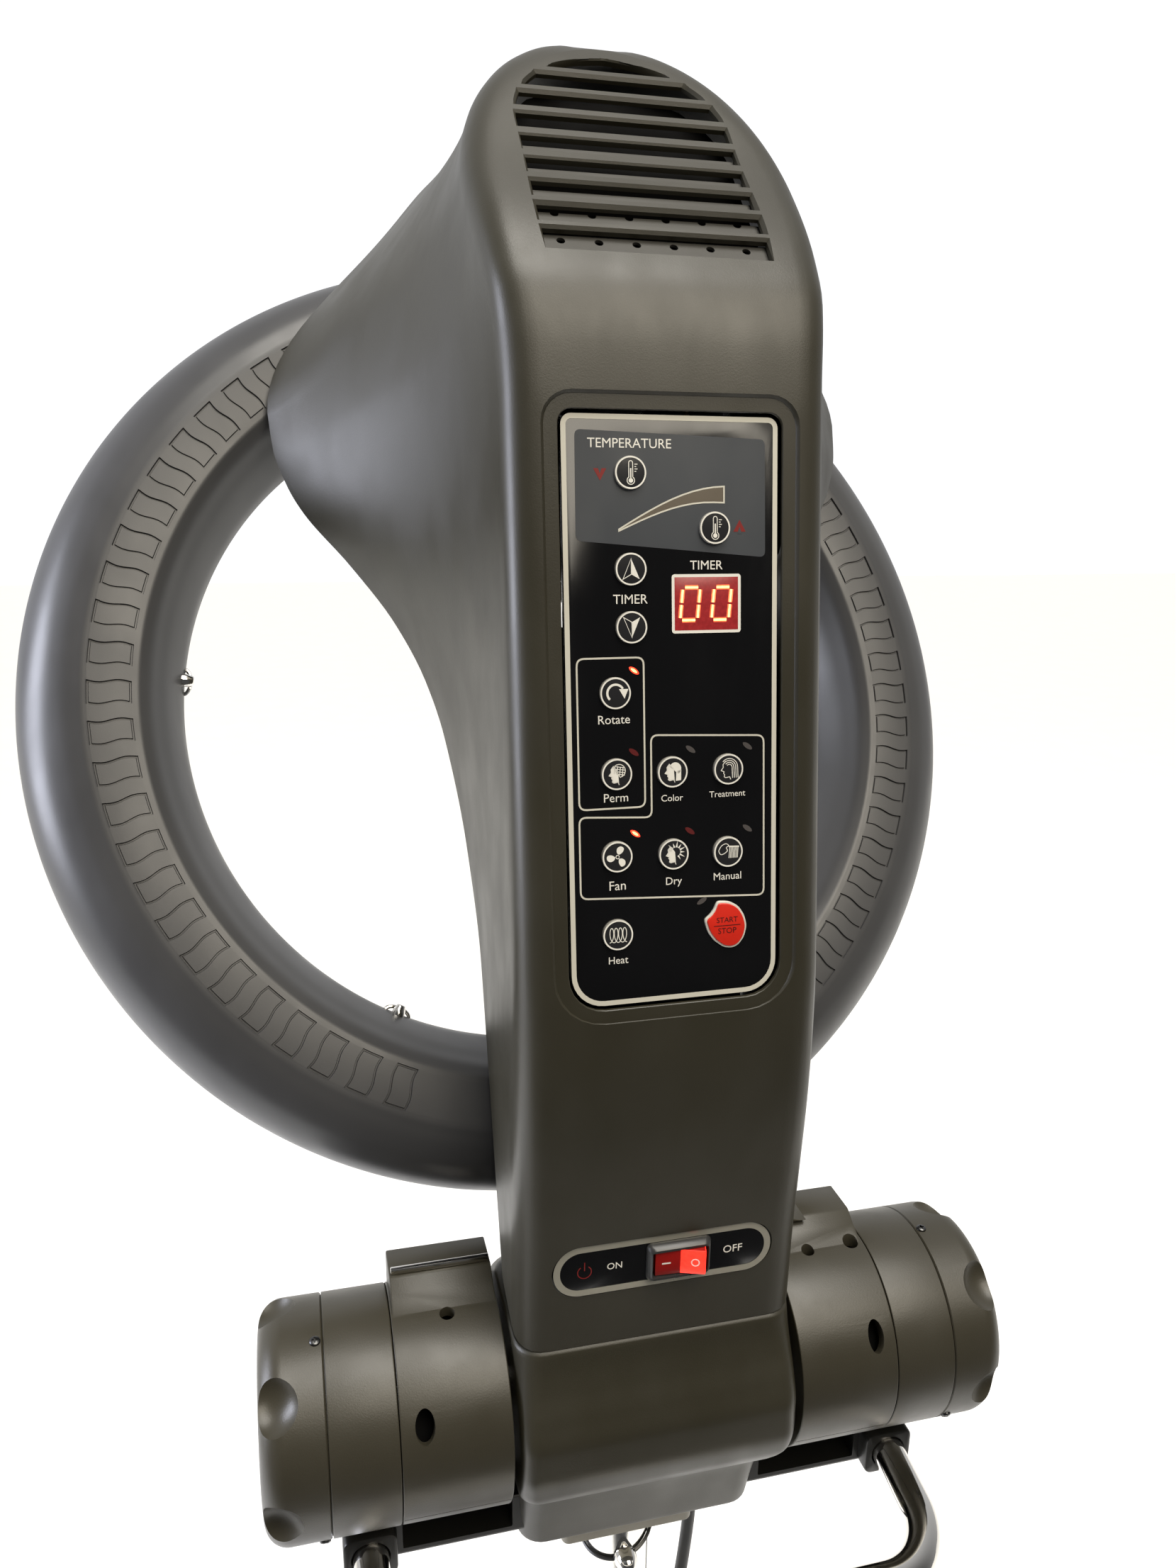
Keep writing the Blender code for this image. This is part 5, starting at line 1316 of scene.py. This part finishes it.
def make_lower_cover():
    """The fixed cover between the drums, lofted downwards through rounded sections."""
    lip, tall = 0.0015, SEAM_Z - SKIRT_BOTTOM
    levels = [SKIRT_BOTTOM + lip * i / 3 for i in range(3)]
    levels += [SKIRT_BOTTOM + lip + (tall - 2 * lip) * i / 64 for i in range(65)]
    levels += [SEAM_Z - lip * i / 3 for i in (2, 1, 0)]
    rows = []
    for z in levels:
        turned_in = 0.7 * max(0.0012 - (SEAM_Z - z), 0) + 0.5 * max(0.0012 - (z - SKIRT_BOTTOM), 0)
        f, b = through(COVER_FRONT, z) + turned_in, through(COVER_BACK, z) - turned_in
        outline = round_box(through(COVER_HALF, z) - turned_in, (b - f) / 2, through(COVER_CORNER, z), 7,
                            (0, (f + b) / 2))
        rows.append([(x, y, z) for x, y in outline])
    piece("lower_housing", loft(rows), HOUSING, "lift",
          "lower_cover", HINGE, sharp=45)


def make_bracket():
    bar = raw("handle_bracket", soften(block((-0.1250, BAR_Y[0], BAR_Z[0]), (0.1250, BAR_Y[1], BAR_Z[1])), 0.0010))
    for side in (-1, 1):
        ear = soften(prism(round_box(0.0125, 0.0118, 0.004, 4, (side * EAR_X, HANDLE_Z)), -0.0262, 0.0082, "y"),
                     0.0010)
        carve(bar, ear, "UNION")
        socket = turned([(-0.0275, 0), (-0.0275, HANDLE_R + 0.0016), (-0.0255, HANDLE_R + 0.0003),
                         (-0.0060, HANDLE_R + 0.0003), (-0.0060, 0)], 48, "y")
        carve(bar, moved(socket, Matrix.Translation((side * EAR_X, 0, HANDLE_Z))))
    for side in (-1, 1):
        low, high = sorted((side * 0.0640, side * 0.1170))
        carve(bar, soften(block((low, BAR_Y[0] - 0.01, BAR_Z[0] + 0.0035), (high, BAR_Y[1] - 0.0030,
                                                                             BAR_Z[1] - 0.0025)), 0.0008))
    dress(bar, BLACK, "lift", "bracket", HINGE)
    leave_y, bend_y = -0.0260, -0.0250 - HANDLE_REACH
    leave = Vector((EAR_X, leave_y, HANDLE_Z))
    bend = Vector((EAR_X, bend_y + HANDLE_BEND, HANDLE_Z - HANDLE_FALL * 29 / 59))
    half = [Vector((EAR_X, -0.0065, HANDLE_Z)), leave, *(leave.lerp(bend, (i + 1) / 6) for i in range(5))]
    for i in range(19):
        t = math.radians(5 * i)
        y = bend.y - HANDLE_BEND * math.sin(t)
        z = HANDLE_Z - HANDLE_FALL * (leave_y - y) / (leave_y - bend_y)
        half.append(Vector((EAR_X - HANDLE_BEND * (1 - math.cos(t)), y, z)))
    path = half + [Vector((-p.x, p.y, p.z)) for p in reversed(half)]
    piece("handle_bar", swept(path, HANDLE_R, 40), CHROME, "lift", "push_handle", HINGE)


# ---------------------------------------------------------------- the mast, base and lead

def make_mast():
    mast = Matrix.Translation((0, MAST_Y, 0))
    low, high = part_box("upper_pole")
    pole = [(low.z, MAST_R - 0.002), (low.z, MAST_R), (high.z, MAST_R), (high.z, MAST_R - 0.002)]
    piece("chrome_pole", turned(pole, 96), POLE, "lift", "upper_pole", mast)
    low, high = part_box("pole_collar")
    collar = raw("collar_plate", soften(prism(round_box(0.0350, 0.0230, 0.004, 6), low.z, high.z), 0.0008))
    carve(collar, prism(arc((0, 0), MAST_R + 0.0003, 0, 355, 71), 0.7, 0.9))
    dress(collar, BEIGE, "lift", "pole_collar", mast)
    low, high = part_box("pole_bolt")
    bolt_z = (low.z + high.z) / 2
    dome = [(-0.0280, 0)] + [(-0.0180 - 0.0100 * math.sin(math.radians(a)), 0.0062 * math.cos(math.radians(a)))
                             for a in (75, 60, 45, 30, 15, 0)] + [(-0.0183, 0)]
    piece("retaining_bolt", turned(dome, 40, "y"), CHROME, "lift", "pole_bolt",
          Matrix.Translation((0, MAST_Y, bolt_z)))
    wire = [(*polar(MAST_R + 0.0010, t), bolt_z + 0.004 + 0.006 * math.cos(t - 0.6))
            for t in (math.tau * i / 96 for i in range(96))]
    piece("retaining_wire", swept(wire, 0.0009, 8, True), BLACK, "lift", (), mast)
    low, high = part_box("outer_tube")
    top = high.z
    tube = rounded([(low.z, MAST_R + 0.0003), (low.z, 0.0225), (top - 0.054, 0.0225), (top - 0.054, 0.0290),
                    (top, 0.0290), (top, MAST_R + 0.0006)], 0.0012)
    outer = raw("lower_tube", turned(tube, 96))
    carve(outer, moved(turned(rounded([(-0.0400, 0), (-0.0400, 0.0110), (-0.0240, 0.0110), (-0.0240, 0)], 0.0010),
                              48, "y"), Matrix.Translation((0, 0, CLAMP.z))), "UNION")
    carve(outer, moved(prism(arc((0, 0), 0.0053, 0, 345, 23), -0.05, -0.02, "y"),
                       Matrix.Translation((0, 0, CLAMP.z))))
    dress(outer, PAINT, "stand", "outer_tube", mast)
    knob = raw("clamp_grip", turned(rounded([(-0.0230, 0), (-0.0230, 0.0050), (-0.0403, 0.0050),
                                             (-0.0403, 0.0120), (-0.0440, 0.0190), (-0.0560, 0.0200),
                                             (-0.0620, 0.0170), (-0.0620, 0)], 0.0015), 96, "y"))
    carve(knob, merged(*[prism(arc(polar(0.0232, math.tau * k / 8), 0.0050, 0, 345, 23), -0.070, -0.0425, "y")
                         for k in range(8)]))
    dress(knob, DARK, "clamp", "clamp_knob", Matrix.Translation(CLAMP))


def make_base():
    mast = Matrix.Translation((0, MAST_Y, 0))
    low, high = HUB_Z
    hub = rounded([(low - 0.012, 0), (low - 0.012, 0.048), (high + 0.006, 0.048), (high + 0.018, 0.032),
                   (high + 0.040, 0.029), (high + 0.040, 0.0228), (low - 0.0003, 0.0228), (low - 0.0003, 0)], 0.004)
    parts = [turned(hub, 96)]
    for k in range(5):
        turn = Matrix.Rotation(math.radians(90 + 72 * k), 4, "Z")
        rows = []
        for i in range(25):
            share = i / 24
            reach = LEG_START + (LEG_REACH + 0.016 - LEG_START) * share
            ease = share * share * (3 - 2 * share)
            half = 0.026 - 0.011 * ease
            top = high + 0.008 - 0.014 * ease
            bottom = low - 0.010 + 0.016 * ease
            if i == 24:
                half, top, bottom = half - 0.003, top - 0.003, bottom + 0.003
            rows.append([(reach, u, v) for u, v in round_box(half, (top - bottom) / 2, 0.0085, 6,
                                                             (0, (top + bottom) / 2))])
        parts.append(moved(loft(rows), turn))
    piece("floor_star", merged(*parts), PAINT, "stand", "star_base", mast, 40)
    piece("hub_cap", turned(rounded([(high + 0.0395, 0.0229), (high + 0.0440, 0.0240), (high + 0.0440, 0.0300),
                                     (high + 0.0330, 0.0322), (high + 0.0330, 0.0300)], 0.0008), 96), DARK, "stand",
          (), mast)
    for number in range(1, 6):
        make_caster(number)


def make_caster(number):
    pivot = Vector(JOINTS[f"swivel_{number}"]["pos_m"])
    hub = Vector(JOINTS[f"roll_{number}"]["pos_m"])
    out = math.atan2(pivot.y - MAST_Y, pivot.x)
    lay = Matrix.Translation((pivot.x, pivot.y, 0)) @ Matrix.Rotation(out, 4, "Z")
    trail = (hub - pivot).to_2d().length
    hood = [(-0.046, 0.0300), (-0.0130, 0.0180), (0.0120, 0.0440), (0.0120, FORK_TOP), (-0.0120, FORK_TOP),
            (-0.0320, 0.0560), (-0.0440, 0.0440)]
    fork = raw(f"caster_hood_{number}", soften(prism(rounded_line(hood, 0.006), -0.0130, 0.0130, "y"), 0.0020, 3))
    carve(fork, prism([(-0.080, -0.0093), (0.0100, -0.0093), (0.0100, 0.0093), (-0.080, 0.0093)], -0.01, 0.0530))
    carve(fork, turned([(FORK_TOP - 0.004, 0), (FORK_TOP - 0.004, 0.0050), (FORK_TOP + 0.0105, 0.0050),
                        (FORK_TOP + 0.0105, 0)], 32), "UNION")
    dress(fork, DARK, f"fork_{number}", f"caster_fork_{number}", lay)
    axle = lay @ Matrix.Translation((-trail, 0, WHEEL_R))
    piece(f"caster_axle_{number}", turned(rounded([(-0.0142, 0), (-0.0142, 0.0035), (-0.0128, 0.0042),
                                                   (0.0128, 0.0042), (0.0142, 0.0035), (0.0142, 0)], 0.0005), 24,
                                          "y"), STEEL, f"fork_{number}", (), axle)
    tread = turned(rounded([(-0.0085, 0.0180), (-0.0085, 0.0225), (-0.0060, WHEEL_R), (0.0060, WHEEL_R),
                            (0.0085, 0.0225), (0.0085, 0.0180)], 0.0015), 64, "y")
    core = turned(rounded([(-0.0085, 0.0046), (-0.0085, 0.0085), (-0.0050, 0.0100), (-0.0050, 0.0160),
                           (-0.0080, 0.0178), (0.0080, 0.0178), (0.0050, 0.0160), (0.0050, 0.0100),
                           (0.0085, 0.0085), (0.0085, 0.0046)], 0.0008), 64, "y")
    piece(f"wheel_{number}_tread", merged(painted(tread, 0), painted(core, 1)), [RUBBER, DARK], f"wheel_{number}",
          f"caster_wheel_{number}", axle)


def coil_route():
    """Turns of lead beside and on each other: three on the floor, then three in the hollows on top."""
    start = Vector(LEAD_ROUTE[-1])
    middle = Vector((*COIL_PLACE, 0))
    begin = math.atan2(start.y - middle.y, start.x - middle.x)
    first = (start.to_2d() - middle.to_2d()).length
    turns = [  # radius and height at the end of each turn
        (first, 0.0038), (first - 0.0075, 0.0038), (first - 0.0150, 0.0040), (first - 0.0112, 0.0102),
        (first - 0.0038, 0.0102), (first - 0.0020, 0.0148), (first - 0.0095, 0.0168),
    ]
    points = []
    for k, (here, there) in enumerate(zip(turns, turns[1:])):
        for i in range(20):
            t = i / 20
            late = max((t - 0.55) / 0.45, 0)
            ease = late * late * (3 - 2 * late)
            radius = here[0] + (there[0] - here[0]) * ease
            z = here[1] + (there[1] - here[1]) * ease
            angle = begin - math.tau * (k + t)
            points.append(middle + Vector((*polar(radius, angle), z)))
    return points


def make_lead():
    low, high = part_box("strain_relief")
    x, y = (low.x + high.x) / 2, (low.y + high.y) / 2
    boot = [(high.z, 0), (high.z, 0.0068), (0.8290, 0.0068)]
    for i in range(7):
        z = 0.8280 - 0.0038 * i
        wide = 0.0062 - 0.00030 * i
        boot += [(z, wide), (z - 0.0022, wide), (z - 0.0024, wide - 0.0010), (z - 0.0036, wide - 0.0010)]
    boot += [(low.z, 0.0037), (low.z, 0)]
    piece("lead_boot", turned(boot, 32), CABLE, "lift", "strain_relief",
          Matrix.Translation((x, y, 0)))

    first = smooth_path(LEAD_ROUTE, 0.006)
    coil = coil_route()
    ahead = (coil[-1] - coil[-2]).normalized()
    bend = [coil[-1] + ahead * 0.010, coil[-1] + ahead * 0.024 + Vector((0.002, 0, -0.001))]
    path = smooth_path(first[:-1] + coil + bend, 0.0045)
    item = raw("mains_cable", swept(path, LEAD_D / 2, 14))
    for poly in item.data.polygons:
        poly.use_smooth = True
    item.data.materials.append(CABLE)
    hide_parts("mains_lead", "lead_coil")
    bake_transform(item)
    plug = make_plug()


def make_plug():
    turn = Matrix.Translation((*PLUG_PLACE, 0)) @ Matrix.Rotation(PLUG_TURN, 4, "Z")
    body = raw("mains_plug", soften(prism(round_box(0.0190, 0.0125, 0.005, 6), 0.0004, 0.0160), 0.0030, 3))
    for side in (-1, 1):
        pin = turned(rounded([(0.017, 0), (0.017, 0.0024), (0.0375, 0.0024), (0.038, 0)], 0.0006), 20, "x")
        carve(body, moved(painted(pin, 1), Matrix.Translation((0, side * 0.0062, 0.0084))), "UNION")
    return dress(body, [CABLE, STEEL], "stand", "plug", turn)


# ---------------------------------------------------------------- what shows of the rest

def paint_frame_nodes():
    """CAD nodes whose own shape shows get their material."""
    looks = {
        "rear_cover": DARK, "orbit_gearmotor": STEEL, "fan_motor": STEEL, "fan_rotor": DARK,
        "heater_coil": COPPER, "control_board": moulded("board_green", (0.015, 0.09, 0.035), 0.5),
        "hinge_shaft": STEEL,
    }
    for name, look in looks.items():
        item = frame["nodes"][name]
        item.data.materials.clear()
        item.data.materials.append(look)


def make_tilt_plate():
    """The plate on the drums' saddles: a thin bright edge on the left, a plastic hump on the right of the neck."""
    plate = soften(block((-0.1165, 0.0105, SADDLE_Z + 0.0004), (-0.0700, 0.0130, SADDLE_Z + 0.0032)), 0.0004)
    hump = [(0.0663, 0.0003), (0.0663, 0.0078), (0.0700, 0.0080), (0.0740, 0.0068), (0.0800, 0.0038), (0.0870, 0.0012),
            (0.0920, 0.0003)]
    side = soften(prism([(u, SADDLE_Z + v) for u, v in hump], 0.0050, SADDLE_BACK, "y"), 0.0020, 3, 50)
    piece("tilt_plate", merged(painted(plate, 0), painted(side, 1)), [CHROME, DRUM_PLASTIC], "head",
          "head_frame", HINGE)


# ---------------------------------------------------------------- the room

def area_light(name, place, target, size, power, color):
    data = bpy.data.lights.new(name, "AREA")
    data.shape = "RECTANGLE"
    data.size, data.size_y = size
    data.energy = power
    data.color = color
    item = bpy.data.objects.new(name, data)
    item.location = place
    item.rotation_euler = (Vector(target) - Vector(place)).to_track_quat("-Z", "Y").to_euler()
    bpy.context.scene.collection.objects.link(item)


ROOM_LIGHT = (0.07, 0.80)  # the room's strength from its dark front to its bright back
SEEN_LIGHT = 1.08  # what the camera itself sees of it
CAMERA_LENS = 27.016
CAMERA_PLACE = (-0.1477, -0.4642, 0.4342)  # from the tilt axis
CAMERA_AHEAD = (0.2408, 0.9314, -0.2731)
CAMERA_UP = (0.0521, 0.2685, 0.9619)


def make_room():
    floor = raw("floor", prism(round_box(12, 6.4, 0.3, center=(0, 5.7)), -0.002, 0))
    floor.data.materials.append(moulded("floor_pale", (0.93, 0.93, 0.92), 0.6, grain=0.02, scale=60, vary=0.01))
    world = bpy.data.worlds.new("studio")
    bpy.context.scene.world = world
    world.use_nodes = True
    tree = world.node_tree
    sky = tree.nodes["Background"]
    sky.inputs["Color"].default_value = (0.98, 0.985, 1.0, 1.0)
    way = tree.nodes.new("ShaderNodeTexCoord")
    parts = tree.nodes.new("ShaderNodeSeparateXYZ")
    tree.links.new(way.outputs["Generated"], parts.inputs["Vector"])
    light = spread(tree, parts.outputs["Y"], *ROOM_LIGHT, (-0.6, 0.9))
    seen = tree.nodes.new("ShaderNodeLightPath")
    mix = tree.nodes.new("ShaderNodeMix")
    tree.links.new(seen.outputs["Is Camera Ray"], mix.inputs["Factor"])
    tree.links.new(light, mix.inputs["A"])
    mix.inputs["B"].default_value = SEEN_LIGHT
    tree.links.new(mix.outputs["Result"], sky.inputs["Strength"])
    sun = bpy.data.objects.new("ceiling_light", bpy.data.lights.new("ceiling_light", "SUN"))
    sun.data.energy, sun.data.angle, sun.data.color = 2.6, math.radians(35), (1.0, 0.96, 0.88)
    sun.rotation_euler = (math.radians(12), math.radians(6), 0)
    bpy.context.scene.collection.objects.link(sun)
    head = (0, -0.02, 1.2)
    area_light("side_light", (-2.2, 0.2, 1.6), head, (0.9, 1.6), 60, (0.84, 0.87, 1.0))
    area_light("front_light", (0.5, -1.4, 2.6), head, (1.4, 1.0), 31, (1.0, 0.92, 0.78))


def make_camera():
    """Where the photographer stood: close to the head, left of it and above the drums."""
    data = bpy.data.cameras.new("camera")
    data.sensor_width = 36
    data.lens = CAMERA_LENS
    camera = bpy.data.objects.new("camera", data)
    bpy.context.scene.collection.objects.link(camera)
    ahead = Vector(CAMERA_AHEAD).normalized()
    right = ahead.cross(Vector(CAMERA_UP)).normalized()
    up = right.cross(ahead)
    turn = Matrix((right, up, -ahead)).transposed()
    camera.matrix_world = Matrix.Translation(DRUM + Vector(CAMERA_PLACE)) @ turn.to_4x4()
    bpy.context.scene.camera = camera


make_housing()
make_baffle()
make_panel()
make_window()
make_keys()
make_switch()
make_ring_shell()
make_ring_front()
make_hub()
make_drum_side(-1, "left")
make_drum_side(1, "right")
make_lower_cover()
make_bracket()
make_mast()
make_base()
make_lead()
make_tilt_plate()
paint_frame_nodes()
make_room()
make_camera()
bpy.context.scene.view_settings.view_transform = "Standard"
